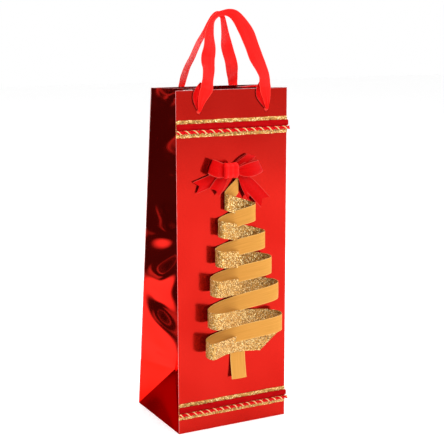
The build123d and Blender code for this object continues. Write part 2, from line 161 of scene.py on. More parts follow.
def vertex_normals(points: Points, faces: Faces) -> Points:
    """Return a normal for each point from the faces round it."""
    normals = np.zeros_like(points)
    for face in faces:
        corner = points[list(face)]
        normal = np.cross(corner[1] - corner[0], corner[-1] - corner[0])
        if len(face) == 4:
            normal = normal + np.cross(corner[3] - corner[2], corner[1] - corner[2])
        normals[list(face)] += normal
    return unit(normals)


def faced(points: Points, faces: Faces, axis: int, sign: int) -> Faces:
    """Return the faces turned so that their mean normal points the given way along an axis."""
    if (vertex_normals(points, faces)[:, axis].mean() > 0) == (sign > 0):
        return faces
    return [face[::-1] for face in faces]


def rounded(wave: Points, power: float) -> Points:
    """Return a sine or cosine squared off by a power under one."""
    return np.sign(wave) * np.abs(wave) ** power


def link_mesh(
    name: str,
    points: Points,
    faces: Faces,
    uv: Points,
    slots: Sequence[int],
    materials: Sequence[Material],
) -> Piece:
    """Make an object from points in millimetres.

    Args:
        name: the piece's name.
        points: one row for each vertex.
        faces: vertex numbers of each face, turning left seen from outside.
        uv: one row for each vertex.
        slots: the material slot of each face.
        materials: the slots' materials.

    Returns:
        The linked object, smooth except where two slots meet.
    """
    mesh = bpy.data.meshes.new(name)
    mesh.from_pydata((points * MM).tolist(), [], [list(face) for face in faces])
    layer = mesh.uv_layers.new(name="UVMap")
    corners = np.zeros(len(mesh.loops), np.int32)
    mesh.loops.foreach_get("vertex_index", corners)
    layer.data.foreach_set("uv", uv[corners].astype(np.float32).ravel())
    mesh.polygons.foreach_set("material_index", np.array(slots, np.int32))
    mesh.polygons.foreach_set("use_smooth", np.ones(len(mesh.polygons), bool))
    for material in materials:
        mesh.materials.append(material)
    edge_slots: dict[tuple[int, int], set[int]] = {}
    for polygon in mesh.polygons:
        for key in polygon.edge_keys:
            edge_slots.setdefault(key, set()).add(polygon.material_index)
    sharp = mesh.attributes.new("sharp_edge", "BOOLEAN", "EDGE")
    keys = [tuple(sorted(edge.vertices)) for edge in mesh.edges]
    sharp.data.foreach_set("value", np.array([len(edge_slots[key]) > 1 for key in keys], bool))
    mesh.update()
    return new_object(name, mesh)


def shell(
    name: str,
    points: Points,
    faces: Faces,
    uv: Points,
    thickness: float,
    materials: Sequence[Material],
) -> Piece:
    """Thicken a surface into a closed sheet.

    Args:
        name: the piece's name.
        points: the middle surface's points, in millimetres.
        faces: its faces, turning left seen from the front.
        uv: one row for each point.
        thickness: the sheet's thickness, in millimetres.
        materials: the materials of the front, the back and the cut edge.

    Returns:
        The linked object.
    """
    normals = vertex_normals(points, faces) * thickness / 2
    count = len(points)
    sheet = np.vstack([points + normals, points - normals])
    solid = [list(face) for face in faces]
    slots = [Face.FRONT] * len(faces)
    solid += [[count + corner for corner in reversed(face)] for face in faces]
    slots += [Face.BACK] * len(faces)
    used: dict[tuple[int, int], int] = {}
    for face in faces:
        for start, end in zip(face, [*face[1:], face[0]]):
            used[(start, end)] = used.get((start, end), 0) + 1
    for start, end in list(used):
        if (end, start) not in used:
            solid.append([end, start, count + start, count + end])
            slots.append(Face.EDGE)
    return link_mesh(name, sheet, solid, np.vstack([uv, uv]), slots, materials)


def grid_shell(
    name: str, grid: Points, thickness: float, materials: Sequence[Material], ring: bool = False
) -> Piece:
    """Thicken a grid of points into a closed sheet.

    Args:
        name: the piece's name.
        grid: rows along the ribbon, columns across it, in millimetres.
        thickness: the sheet's thickness.
        materials: the materials of the front, the back and the cut edge.
        ring: whether the last row joins the first.

    Returns:
        The linked object, whose U runs 0 to 1 across and V is the length along, in metres.
    """
    rows, columns = grid.shape[:2]
    along = run(grid[:, columns // 2]) * MM
    across = np.linspace(0.0, 1.0, columns)
    uv = np.stack(np.meshgrid(along, across, indexing="ij")[::-1], axis=-1).reshape(-1, 2)
    faces = grid_faces(rows, columns, ring)
    return shell(name, grid.reshape(-1, 3), faces, uv, thickness, materials)


def ring_solid(name: str, rings: Points, material: Material) -> Piece:
    """Make a closed solid from rings of points.

    Args:
        name: the piece's name.
        rings: rings along the solid, each turning left seen from its start, in millimetres.
        material: the solid's material.

    Returns:
        The linked object, closed at both ends.
    """
    rows, columns = rings.shape[:2]
    faces = []
    for i in range(rows - 1):
        here, beyond = i * columns, (i + 1) * columns
        for j in range(columns):
            after = (j + 1) % columns
            faces.append([here + j, here + after, beyond + after, beyond + j])
    faces.append(list(range(columns))[::-1])
    faces.append([(rows - 1) * columns + j for j in range(columns)])
    along = run(rings.mean(axis=1)) * MM
    turn = np.linspace(0.0, 1.0, columns, endpoint=False)
    uv = np.stack(np.meshgrid(along, turn, indexing="ij")[::-1], axis=-1).reshape(-1, 2)
    return link_mesh(name, rings.reshape(-1, 3), faces, uv, [0] * len(faces), [material])


def join(name: str, pieces: Sequence[Piece]) -> Piece:
    """Join several mesh objects into the first one and give it a name."""
    with bpy.context.temp_override(
        active_object=pieces[0], selected_editable_objects=list(pieces), selected_objects=list(pieces)
    ):
        bpy.ops.object.join()
    pieces[0].name = name
    return pieces[0]


def turn_over(piece: Piece) -> None:
    """Swap the front and back materials of a sheet."""
    swap = {Face.FRONT: Face.BACK, Face.BACK: Face.FRONT}
    for polygon in piece.data.polygons:
        polygon.material_index = swap.get(polygon.material_index, polygon.material_index)


def recalc(piece: Piece) -> None:
    """Turn every face of a closed thin shell outwards."""
    mesh = bmesh.new()
    mesh.from_mesh(piece.data)
    bmesh.ops.recalc_face_normals(mesh, faces=mesh.faces)
    mesh.to_mesh(piece.data)
    mesh.free()


def settle(piece: Piece, slot: str, *nodes: str, body: str = BAG) -> None:
    """Put a finished piece on its body, in place of its CAD nodes.

    Args:
        piece: the finished piece.
        slot: the record's material slot; not used.
        nodes: the CAD nodes that it stands for.
        body: the body that it rides on.
    """
    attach(piece, body)
    if nodes:
        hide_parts(*nodes)
    LOG.info("%s: %d faces, on %s, for %s", piece.name, len(piece.data.polygons), body, nodes)


def box_mm(node: str) -> tuple[Points, Points]:
    """Return a CAD node's lowest and highest corners, in millimetres."""
    low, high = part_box(node)
    return np.array(low) / MM, np.array(high) / MM


def dress_node(node: str, material: Material) -> None:
    """Give a CAD node's object one material."""
    piece = bpy.data.objects[node]
    if not piece.data.materials:
        piece.data.materials.append(material)
    for slot in piece.material_slots:
        slot.material = material
    LOG.info("%s keeps its CAD shape, in %s", node, material.name)


# ---- Node helpers ----


@dataclass
class NodeSheet:
    """Short calls for putting nodes and links into one tree."""

    tree: Tree

    def feed(self, node: Node, values: Values) -> None:
        """Give a node's inputs, by name or number, a link from a socket or else a value."""
        for key, source in values.items():
            if isinstance(source, bpy.types.NodeSocket):
                self.tree.links.new(source, node.inputs[key])
            else:
                node.inputs[key].default_value = source

    def add(self, kind: str, values: Values | None = None, **options: object) -> Node:
        """Add a node, set its options and feed its inputs."""
        node = self.tree.nodes.new(kind)
        for name, value in options.items():
            setattr(node, name, value)
        self.feed(node, values or {})
        return node

    def math(self, operation: str, *values: object) -> Socket:
        """Add a math node and return its output."""
        return self.add("ShaderNodeMath", dict(enumerate(values)), operation=operation).outputs[0]

    def vector(self, operation: str, *values: object) -> Socket:
        """Add a vector math node and return its vector output."""
        return self.add("ShaderNodeVectorMath", dict(enumerate(values)), operation=operation).outputs[0]

    def mix(self, factor: object, first: object, second: object) -> Socket:
        """Return the blend of two colours."""
        low, high = ((*tone, 1.0) if isinstance(tone, tuple) else tone for tone in (first, second))
        return self.add("ShaderNodeMix", {0: factor, 6: low, 7: high}, data_type="RGBA").outputs[2]

    def ramp(self, value: object, low: float, high: float) -> Socket:
        """Return a smooth 0 to 1 step of a value between low and high."""
        values = {"Value": value, "From Min": low, "From Max": high}
        return self.add("ShaderNodeMapRange", values, interpolation_type="SMOOTHSTEP").outputs[0]

    def range(self, value: object, low: float, high: float) -> Socket:
        """Return a 0 to 1 value spread from low to high."""
        return self.add("ShaderNodeMapRange", {"Value": value, "To Min": low, "To Max": high}).outputs[0]

    def noise(self, vector: object, scale: float, detail: float = 2.0, rough: float = 0.5) -> Socket:
        """Return the value of a noise pattern."""
        values = {"Vector": vector, "Scale": scale, "Detail": detail, "Roughness": rough}
        return self.add("ShaderNodeTexNoise", values).outputs[0]

    def place(self, vector: object, scale: Triple) -> Socket:
        """Return a vector stretched by a mapping node."""
        return self.add("ShaderNodeMapping", {"Vector": vector, "Scale": scale}).outputs[0]

    def coordinate(self, name: str) -> Socket:
        """Return one output of a texture coordinate node."""
        return self.add("ShaderNodeTexCoord").outputs[name]

    def parts(self, vector: object) -> list[Socket]:
        """Return the three numbers of a vector."""
        return list(self.add("ShaderNodeSeparateXYZ", {0: vector}).outputs)

    def bump(self, height: object, strength: float, distance: float) -> Socket:
        """Return the normal that a height pattern gives."""
        values = {"Strength": strength, "Distance": distance, "Height": height}
        return self.add("ShaderNodeBump", values).outputs[0]

    def group(self, builder: Callable[[], Tree], **values: object) -> Sockets:
        """Place a group and return its outputs; a value's name has _ where its socket has a space."""
        node = self.add("ShaderNodeGroup", node_tree=builder())
        self.feed(node, {name.replace("_", " "): value for name, value in values.items()})
        return node.outputs


GroupMaker = Callable[[NodeSheet, Sockets], Sockets]


def shader_group(
    name: str, inputs: Sequence[str], outputs: Sequence[str]
) -> Callable[[GroupMaker], Callable[[], Tree]]:
    """Turn a function that fills a shader node group into one that returns the group.

    Args:
        name: the group's name.
        inputs: its input sockets, numbers apart from Vector.
        outputs: its output sockets, numbers apart from Normal.

    Returns:
        The decorator.
    """

    def decorate(maker: GroupMaker) -> Callable[[], Tree]:
        """Wrap the function that fills the group."""

        def build() -> Tree:
            """Return the group, the one already built where there is one."""
            if name in bpy.data.node_groups:
                return bpy.data.node_groups[name]
            tree = bpy.data.node_groups.new(name, "ShaderNodeTree")
            for way, sockets in (("INPUT", inputs), ("OUTPUT", outputs)):
                for socket in sockets:
                    kind = "Vector" if socket in ("Vector", "Normal") else "Float"
                    tree.interface.new_socket(socket, in_out=way, socket_type=f"NodeSocket{kind}")
            sheet = NodeSheet(tree)
            sheet.add("NodeGroupOutput", maker(sheet, sheet.add("NodeGroupInput").outputs))
            return tree

        return build

    return decorate


@shader_group("ribbon_weave", ("Vector", "Threads", "Picks"), ("Height", "Streak", "Selvedge And Highlight"))
def weave_group(sheet: NodeSheet, given: Sockets) -> Sockets:
    """Make satin threads from a ribbon's own U and V."""
    u, v, _ = sheet.parts(given["Vector"])
    warp = sheet.math("SINE", sheet.math("MULTIPLY", u, given["Threads"]))
    weft = sheet.math("SINE", sheet.math("MULTIPLY", v, given["Picks"]))
    both = sheet.math("MULTIPLY", warp, sheet.math("MULTIPLY_ADD", weft, 0.35, 0.65))
    off_edge = sheet.math("MINIMUM", u, sheet.math("SUBTRACT", 1.0, u))
    return {
        "Height": sheet.math("MULTIPLY_ADD", both, 0.5, 0.5),
        "Streak": sheet.noise(sheet.place(given["Vector"], (26.0, 30.0, 1.0)), 1.0, 3.0, 0.6),
        # The edge mask is the selvedge, and also where a pale edge highlight is painted.
        "Selvedge And Highlight": sheet.math("SUBTRACT", 1.0, sheet.ramp(off_edge, 0.02, 0.04)),
    }


@shader_group("glitter_flecks", ("Vector", "Scale", "Tilt"), ("Tone", "Gloss", "Glint", "Normal"))
def fleck_group(sheet: NodeSheet, given: Sockets) -> Sockets:
    """Make glitter flecks, each cell with its own tone and tilt."""
    values = {"Vector": given["Vector"], "Scale": given["Scale"]}
    cell = sheet.add("ShaderNodeTexVoronoi", values, voronoi_dimensions="2D").outputs["Color"]
    red, green, blue = sheet.parts(cell)
    centred = sheet.vector("SUBTRACT", cell, (0.5, 0.5, 0.5))
    scaled = {0: centred, "Scale": given["Tilt"]}
    tilt = sheet.add("ShaderNodeVectorMath", scaled, operation="SCALE").outputs[0]
    surface = sheet.add("ShaderNodeNewGeometry").outputs["Normal"]
    normal = sheet.vector("NORMALIZE", sheet.vector("ADD", surface, tilt))
    return {"Tone": red, "Gloss": green, "Glint": sheet.ramp(blue, 0.80, 0.92), "Normal": normal}


@shader_group("foil_ripple", ("Vector",), ("Height", "Tone", "Scuff"))
def ripple_group(sheet: NodeSheet, given: Sockets) -> Sockets:
    """Make laminated foil: broad waves, a fine peel and hairline scuffs."""
    place = given["Vector"]
    broad = sheet.noise(place, 16.0, 1.0, 0.4)
    peel = sheet.noise(place, 420.0, 2.0, 0.5)
    scuff = sheet.noise(sheet.place(place, (900.0, 900.0, 60.0)), 1.0, 2.0)
    height = sheet.math("MULTIPLY_ADD", peel, 0.004, broad)
    return {"Height": height, "Tone": broad, "Scuff": sheet.ramp(scuff, 0.62, 0.78)}


@shader_group("fold_wear_and_highlight", ("Vector", "Half Width", "Top", "Reach"), ("Mask",))
def fold_wear_and_highlight_group(sheet: NodeSheet, given: Sockets) -> Sockets:
    """Make the pale line along folds and the top edge: worn foil, and a painted highlight on the fold.
    """
    x, _, z = sheet.parts(given["Vector"])
    side = sheet.math("SUBTRACT", given["Half Width"], sheet.math("ABSOLUTE", x))
    near = sheet.math("MINIMUM", side, sheet.math("SUBTRACT", given["Top"], z))
    broken = sheet.noise(given["Vector"], 130.0, 3.0, 0.6)
    near = sheet.math("ADD", near, sheet.math("MULTIPLY", broken, given["Reach"]))
    share = sheet.math("DIVIDE", near, given["Reach"])
    return {"Mask": sheet.math("SUBTRACT", 1.0, sheet.ramp(share, 0.75, 1.25))}


@shader_group("board_fibre", ("Vector",), ("Grain", "Flecks"))
def fibre_group(sheet: NodeSheet, given: Sockets) -> Sockets:
    """Make the flecked grain of paper and board."""
    place = given["Vector"]
    flecks = sheet.noise(sheet.place(place, (300.0, 900.0, 900.0)), 1.0, 2.0)
    return {"Grain": sheet.noise(place, 700.0, 4.0, 0.65), "Flecks": sheet.ramp(flecks, 0.66, 0.74)}


# ---- Finishes ----


def new_material(name: str) -> tuple[Material, NodeSheet, Node]:
    """Return a new material with its node sheet and its Principled shader."""
    material = bpy.data.materials.new(name)
    material.use_nodes = True
    return material, NodeSheet(material.node_tree), material.node_tree.nodes["Principled BSDF"]


@dataclass(frozen=True)
class Finish:
    """One material, from what its kind feeds to the shader."""

    name: str

    def values(self, sheet: NodeSheet) -> Values:
        """Return what goes into the shader's sockets."""
        raise NotImplementedError

    def build(self) -> Material:
        """Return the material."""
        material, sheet, shader = new_material(self.name)
        sheet.feed(shader, self.values(sheet))
        return material


@dataclass(frozen=True)
class FoilFinish(Finish):
    """Mirror foil laminated on card, pale along the folds as wear and a painted fold highlight.

    Attributes:
        deep: its colour in the broad darker patches.
        pale: the bared card and the painted fold highlight along a fold.
        half_width: where the folds stand, in metres, or a large number for none.
        top: height of the top edge.
        reach: how wide the pale line of wear and painted highlight is.
        gloss: the shader's roughness away from scuffs.
    """

    name: str = "red_foil"
    red: Colour = (0.80, 0.020, 0.013)
    deep: Colour = (0.72, 0.015, 0.010)
    pale: Colour = (0.50, 0.36, 0.35)
    half_width: float = 9.0
    top: float = 9.0
    reach: float = 0.00042
    metallic: float = 1.0
    gloss: float = 0.075

    def values(self, sheet: NodeSheet) -> Values:
        """Return what goes into the shader's sockets."""
        place = sheet.coordinate("Object")
        ripple = sheet.group(ripple_group, Vector=place)
        edges = {"Half_Width": self.half_width, "Top": self.top, "Reach": self.reach}
        mask = sheet.group(fold_wear_and_highlight_group, Vector=place, **edges)["Mask"]
        foil = sheet.mix(sheet.ramp(ripple["Tone"], 0.35, 0.7), self.red, self.deep)
        gloss = sheet.math("MULTIPLY_ADD", ripple["Scuff"], 0.04, self.gloss)
        return {
            # The fold mask paints worn foil and a painted fold highlight pale.
            "Base Color": sheet.mix(mask, foil, self.pale),
            "Metallic": sheet.range(mask, self.metallic, 0.15),
            "Roughness": sheet.math("MULTIPLY_ADD", mask, 0.35, gloss),
            "Normal": sheet.bump(ripple["Height"], 0.2, 0.0012),
            "Specular IOR Level": 0.1,
            "Specular Tint": (*self.red, 1.0),
        }


@dataclass(frozen=True)
class SatinFinish(Finish):
    """Woven satin ribbon with a bright selvedge, partly a painted edge highlight.

    Attributes:
        shade: its colour in the darker streaks.
        selvedge_and_highlight: the colour of the woven edge, lightened as a painted edge highlight.
        threads: how many times 2 pi the weave runs across.
        picks: how many times 2 pi it runs in a metre.
        gloss: the shader's roughness in the smooth streaks.
        specular: strength of the plain gloss.
    """

    face: Colour
    shade: Colour
    selvedge_and_highlight: Colour
    threads: float = 220.0
    picks: float = 9000.0
    gloss: float = 0.34
    specular: float = 0.3

    def values(self, sheet: NodeSheet) -> Values:
        """Return what goes into the shader's sockets."""
        threads = {"Threads": self.threads, "Picks": self.picks}
        weave = sheet.group(weave_group, Vector=sheet.coordinate("UV"), **threads)
        streak = sheet.ramp(weave["Streak"], 0.35, 0.65)
        cloth = sheet.mix(streak, self.face, self.shade)
        height = sheet.math("MULTIPLY_ADD", weave["Selvedge And Highlight"], 2.0, weave["Height"])
        return {
            # The ribbon's edges are painted pale: selvedge and painted highlight.
            "Base Color": sheet.mix(weave["Selvedge And Highlight"], cloth, self.selvedge_and_highlight),
            "Roughness": sheet.math("MULTIPLY_ADD", streak, 0.12, self.gloss),
            "Normal": sheet.bump(height, 0.25, 0.00008),
            "Metallic": 0.0,
            "Specular IOR Level": self.specular,
            "Specular Tint": (*self.face, 1.0),
        }


@dataclass(frozen=True)
class GlitterFinish(Finish):
    """Ribbon coated in gold glitter, with its width in metres and its flecks in a metre."""

    name: str = "gold_glitter"
    dark: Colour = (0.13, 0.045, 0.006)
    gold: Colour = (0.58, 0.285, 0.05)
    light: Colour = (1.0, 0.80, 0.38)
    width: float = 0.017
    scale: float = 1450.0

    def values(self, sheet: NodeSheet) -> Values:
        """Return what goes into the shader's sockets."""
        place = sheet.place(sheet.coordinate("UV"), (self.width, 1.0, 1.0))
        flecks = sheet.group(fleck_group, Vector=place, Scale=self.scale, Tilt=0.7)
        colour = sheet.mix(sheet.ramp(flecks["Tone"], 0.0, 0.6), self.dark, self.gold)
        return {
            "Base Color": sheet.mix(flecks["Glint"], colour, self.light),
            "Roughness": sheet.range(flecks["Gloss"], 0.35, 0.6),
            "Normal": flecks["Normal"],
            "Metallic": 0.4,
        }


@dataclass(frozen=True)
class VelvetFinish(Finish):
    """Dark red velvet with an uneven nap."""

    name: str = "red_velvet"
    pile: Colour = (0.36, 0.002, 0.003)
    core: Colour = (0.29, 0.001, 0.002)
    glow: Colour = (1.0, 0.08, 0.07)

    def values(self, sheet: NodeSheet) -> Values:
        """Return what goes into the shader's sockets."""
        place = sheet.coordinate("Object")
        fuzz = sheet.noise(place, 2200.0, 3.0, 0.6)
        nap = sheet.ramp(sheet.noise(sheet.place(place, (90.0, 90.0, 380.0)), 1.0, 2.0), 0.3, 0.7)
        return {
            "Base Color": sheet.mix(nap, self.pile, self.core),
            "Roughness": sheet.range(fuzz, 0.75, 1.0),
            "Normal": sheet.bump(fuzz, 0.4, 0.0002),
            "Sheen Weight": 0.03,
            "Sheen Roughness": 0.3,
            "Sheen Tint": (*self.glow, 1.0),
            "Specular IOR Level": 0.03,
        }


@dataclass(frozen=True)
class PlyFinish(Finish):
    """Twisted yarn of one ply, its shade the colour between the fibres."""

    yarn: Colour
    shade: Colour
    metallic: float = 0.0

    def values(self, sheet: NodeSheet) -> Values:
        """Return what goes into the shader's sockets."""
        place = sheet.place(sheet.coordinate("Object"), (1500.0, 1500.0, 4200.0))
        fibre = sheet.noise(place, 1.0, 3.0, 0.6)
        return {
            "Base Color": sheet.mix(sheet.ramp(fibre, 0.35, 0.65), self.shade, self.yarn),
            "Roughness": sheet.range(fibre, 0.55, 0.35),
            "Normal": sheet.bump(fibre, 0.5, 0.0002),
            "Metallic": self.metallic,
            "Specular IOR Level": 0.3,
            "Specular Tint": (*self.yarn, 1.0),
        }


@dataclass(frozen=True)
class CardFinish(Finish):
    """Paper, board or set glue, with its fibres."""

    face: Colour
    fleck: Colour
    rough: float = 0.85

    def values(self, sheet: NodeSheet) -> Values:
        """Return what goes into the shader's sockets."""
        fibre = sheet.group(fibre_group, Vector=sheet.coordinate("Object"))
        shade = tuple(channel * 0.88 for channel in self.face)
        grain = sheet.mix(fibre["Grain"], self.face, shade)
        amount = sheet.math("MULTIPLY", fibre["Flecks"], 0.6)
        return {
            "Base Color": sheet.mix(amount, grain, self.fleck),
            "Roughness": sheet.range(fibre["Grain"], self.rough - 0.08, self.rough + 0.08),
            "Normal": sheet.bump(fibre["Grain"], 0.3, 0.0001),
        }


def once(finish: Finish) -> Material:
    """Return a field that builds its finish when its owner is made."""
    return field(default_factory=finish.build)


FRONT_FOIL = FoilFinish(
    "red_foil_front", (0.48, 0.014, 0.009), (0.44, 0.011, 0.007), metallic=0.88, gloss=0.16, **FOLD_WEAR_AND_HIGHLIGHT
)
# A darker foil for the foot's base facet: painted shade standing in for the dim floor that it faces.
FOOT_FOIL_PAINTED_SHADE = FoilFinish("red_foil_foot_painted_shade", (0.29, 0.016, 0.012), (0.20, 0.005, 0.004), gloss=0.12)
GOLD_SATIN = SatinFinish(
    "gold_satin", (0.58, 0.27, 0.055), (0.52, 0.235, 0.045), (0.66, 0.36, 0.10), gloss=0.6, specular=0.2
)
RED_SATIN = SatinFinish(
    "red_satin", (0.86, 0.014, 0.011), (0.74, 0.008, 0.007), (0.90, 0.05, 0.035), specular=0.2
)
# A darker copy of the red satin, as painted shade: on the bow's loops and tails and the handles' tucks.
BOW_SATIN_PAINTED_SHADE = SatinFinish(
    "bow_satin_painted_shade", (0.50, 0.003, 0.003), (0.45, 0.002, 0.002), (0.54, 0.045, 0.035), specular=0.4
)
# A lighter copy of the bow's satin with paler edge lines, for the knot: painted light and painted
# highlight lines.
KNOT_SATIN_PAINTED_LIGHT = SatinFinish(
    "knot_satin_painted_light", (0.74, 0.010, 0.009), (0.66, 0.006, 0.006), (0.62, 0.09, 0.07), specular=0.45
)


@dataclass
class Finishes:
    """Every material of the bag, built once."""

    foil: Material = once(FoilFinish())
    folded_foil: Material = once(FoilFinish("red_foil_worn_and_highlit", **FOLD_WEAR_AND_HIGHLIGHT))
    front_foil: Material = once(FRONT_FOIL)
    foot_base_painted_shade_foil: Material = once(FOOT_FOIL_PAINTED_SHADE)
    liner: Material = once(CardFinish("card_inside", (0.80, 0.78, 0.74), (0.62, 0.58, 0.52)))
    board: Material = once(CardFinish("grey_board", (0.42, 0.40, 0.36), (0.20, 0.19, 0.18)))
    glue: Material = once(CardFinish("set_glue", (0.72, 0.69, 0.60), (0.80, 0.78, 0.72), 0.35))
    glitter: Material = once(GlitterFinish())
    flake: Material = once(PlyFinish("glitter_flake", (0.86, 0.58, 0.22), (0.60, 0.34, 0.09), 0.5))
    gold_satin: Material = once(GOLD_SATIN)
    red_satin: Material = once(RED_SATIN)
    bow_satin_painted_shade: Material = once(BOW_SATIN_PAINTED_SHADE)
    knot_satin_painted_light: Material = once(KNOT_SATIN_PAINTED_LIGHT)
    velvet: Material = once(VelvetFinish())
    red_ply: Material = once(PlyFinish("red_ply", (0.72, 0.006, 0.008), (0.40, 0.002, 0.004)))
    gold_ply: Material = once(PlyFinish("gold_ply", (0.86, 0.68, 0.34), (0.58, 0.40, 0.15), 0.1))


# ---- Studio ----


@dataclass
class Studio:
    """Camera, soft lights, surrounding and floor.

    Attributes:
        place: where the camera stands, in metres.
        azimuth: its turn from straight ahead, in degrees, with elevation and roll.
        lens: its focal length, in millimetres.
        floor_half: half the floor's side.
        dark_x: share of x in the level direction that a mirror sees dark.
        dark_y: share of y in it.
    """

    place: Triple = (-0.4968, -0.9866, 0.4137)
    azimuth: float = -27.4136
    elevation: float = 10.5872
    roll: float = -0.1351
    lens: float = 86.07
    floor_half: float = 6.0
    dark_x: float = -0.93
    dark_y: float = -0.37

    def build(self) -> None:
        """Make everything round the bag."""
        bpy.context.scene.view_settings.view_transform = "Standard"
        self.camera()
        self.surrounding()
        self.floor()
        self.softbox("softbox_right", (1.1, -1.5, 1.2), (0.0, 0.0, 0.2), 1.1, 22.0)
        self.softbox("softbox_left", (-1.6, -0.7, 1.2), (0.0, 0.0, 0.2), 0.8, 9.0)
        self.softbox("softbox_top", (0.1, 0.1, 1.9), (0.0, 0.0, 0.0), 1.6, 26.0)

    def camera(self) -> None:
        """Add the camera."""
        data = bpy.data.cameras.new("camera")
        data.lens = self.lens
        data.sensor_width = 36.0
        view = new_object("camera", data)
        view.matrix_world = (
            Matrix.Translation(self.place)
            @ Matrix.Rotation(math.radians(self.azimuth), 4, "Z")
            @ Matrix.Rotation(math.pi / 2 - math.radians(self.elevation), 4, "X")
            @ Matrix.Rotation(math.radians(self.roll), 4, "Z")
        )
        bpy.context.scene.camera = view

    def softbox(self, name: str, place: Triple, target: Triple, size: float, power: float) -> None:
        """Add one soft square light.

        Args:
            name: the light's name.
            place: where it stands, in metres.
            target: what it looks at.
            size: its side.
            power: its power, in watts.
        """
        data = bpy.data.lights.new(name, "AREA")
        data.size = size
        data.energy = power
        lamp = new_object(name, data)
        lamp.location = place
        aim = Vector(target) - Vector(place)
        lamp.rotation_euler = aim.to_track_quat("-Z", "Y").to_euler()

    def left_front(self, sheet: NodeSheet, vector: Socket) -> Socket:
        """Return how far a vector reaches to the left and front."""
        x, y, _ = sheet.parts(vector)
        across = sheet.math("MULTIPLY", x, self.dark_x)
        return sheet.math("ADD", across, sheet.math("MULTIPLY", y, self.dark_y))

    def surrounding(self) -> None:
        """Light the scene all round: white to the camera, darker to the left and front."""
        world = bpy.data.worlds.new("studio")
        bpy.context.scene.world = world
        world.use_nodes = True
        sheet = NodeSheet(world.node_tree)
        rays = sheet.add("ShaderNodeLightPath").outputs
        dark = sheet.ramp(self.left_front(sheet, sheet.coordinate("Generated")), 0.12, 0.5)
        glossy = sheet.range(dark, 0.93, 0.025)
        mild = sheet.range(dark, 0.9, 0.7)
        seen = sheet.add("ShaderNodeMix", {0: rays["Is Glossy Ray"], 2: mild, 3: glossy}).outputs[0]
        strength = sheet.math("MAXIMUM", seen, rays["Is Camera Ray"])
        background = world.node_tree.nodes["Background"]
        sheet.feed(background, {"Color": (1.0, 1.0, 1.0, 1.0), "Strength": strength})

    def floor(self) -> None:
        """Lay the pale floor, which a mirror sees darker far out to the left and front."""
        half = self.floor_half
        mesh = bpy.data.meshes.new("floor")
        corners = [(-half, -half, 0.0), (half, -half, 0.0), (half, half, 0.0), (-half, half, 0.0)]
        mesh.from_pydata(corners, [], [(0, 1, 2, 3)])
        floor = new_object("floor", mesh)
        material, sheet, shader = new_material("pale_floor")
        place = sheet.coordinate("Object")
        grain = sheet.range(sheet.noise(place, 60.0, 3.0), 0.93, 0.96)
        far = sheet.ramp(self.left_front(sheet, place), 0.33, 0.46)
        patches = sheet.ramp(sheet.noise(place, 1.7, 1.0), 0.52, 0.62)
        shaded = sheet.math("MULTIPLY", far, sheet.range(patches, 1.0, 0.62))
        rays = sheet.add("ShaderNodeLightPath").outputs
        hidden = sheet.math("MULTIPLY", shaded, rays["Is Glossy Ray"])
        level = sheet.math("MULTIPLY", grain, sheet.range(hidden, 1.0, 0.03))
        tint = sheet.add("ShaderNodeCombineColor", {0: level, 1: level, 2: level}).outputs[0]
        values = {
            "Base Color": tint,
            "Roughness": 0.9,
            "Specular IOR Level": 0.1,
            "Emission Color": tint,
            "Emission Strength": 0.2,
        }
        sheet.feed(shader, values)
        mesh.materials.append(material)


# ---- Wrapper ----


@dataclass(frozen=True)
class Buckle:
    """One soft dent or bulge in a paper panel.

    Attributes:
        across: its middle, in millimetres from the panel's outer fold.
        height: its middle's height.
        length: its half length.
        width: its half width.
        turn: how far its length is turned up from level, in degrees.
        depth: how far it stands out, in millimetres.
    """

    across: float
    height: float
    length: float
    width: float
    turn: float
    depth: float

    def lift(self, across: Points, height: Points) -> Points:
        """Return how far it moves each point of the panel."""
        angle = math.radians(self.turn)
        dx = across - self.across
        dz = height - self.height
        along = dx * math.cos(angle) + dz * math.sin(angle)
        off = dz * math.cos(angle) - dx * math.sin(angle)
        return self.depth * np.exp(-((along / self.length) ** 2) - (off / self.width) ** 2)


GUSSET_BUCKLES = (
    Buckle(18, 338, 30, 15, 74, 1.6),
    Buckle(34, 262, 18, 9, 60, 0.8),
    Buckle(16, 212, 14, 13, 84, 1.0),
    Buckle(20, 196, 26, 12, 4, 1.9),
    Buckle(32, 156, 32, 9, 58, 1.5),
    Buckle(14, 150, 20, 13, 20, 1.6),
    Buckle(22, 122, 34, 11, -38, -1.5),
    Buckle(22, 96, 30, 12, -32, 1.2),
    Buckle(20, 70, 26, 9, -16, -0.9),
    Buckle(28, 305, 34, 16, 24, -1.1),
    Buckle(24, 238, 34, 14, -20, -0.9),
)


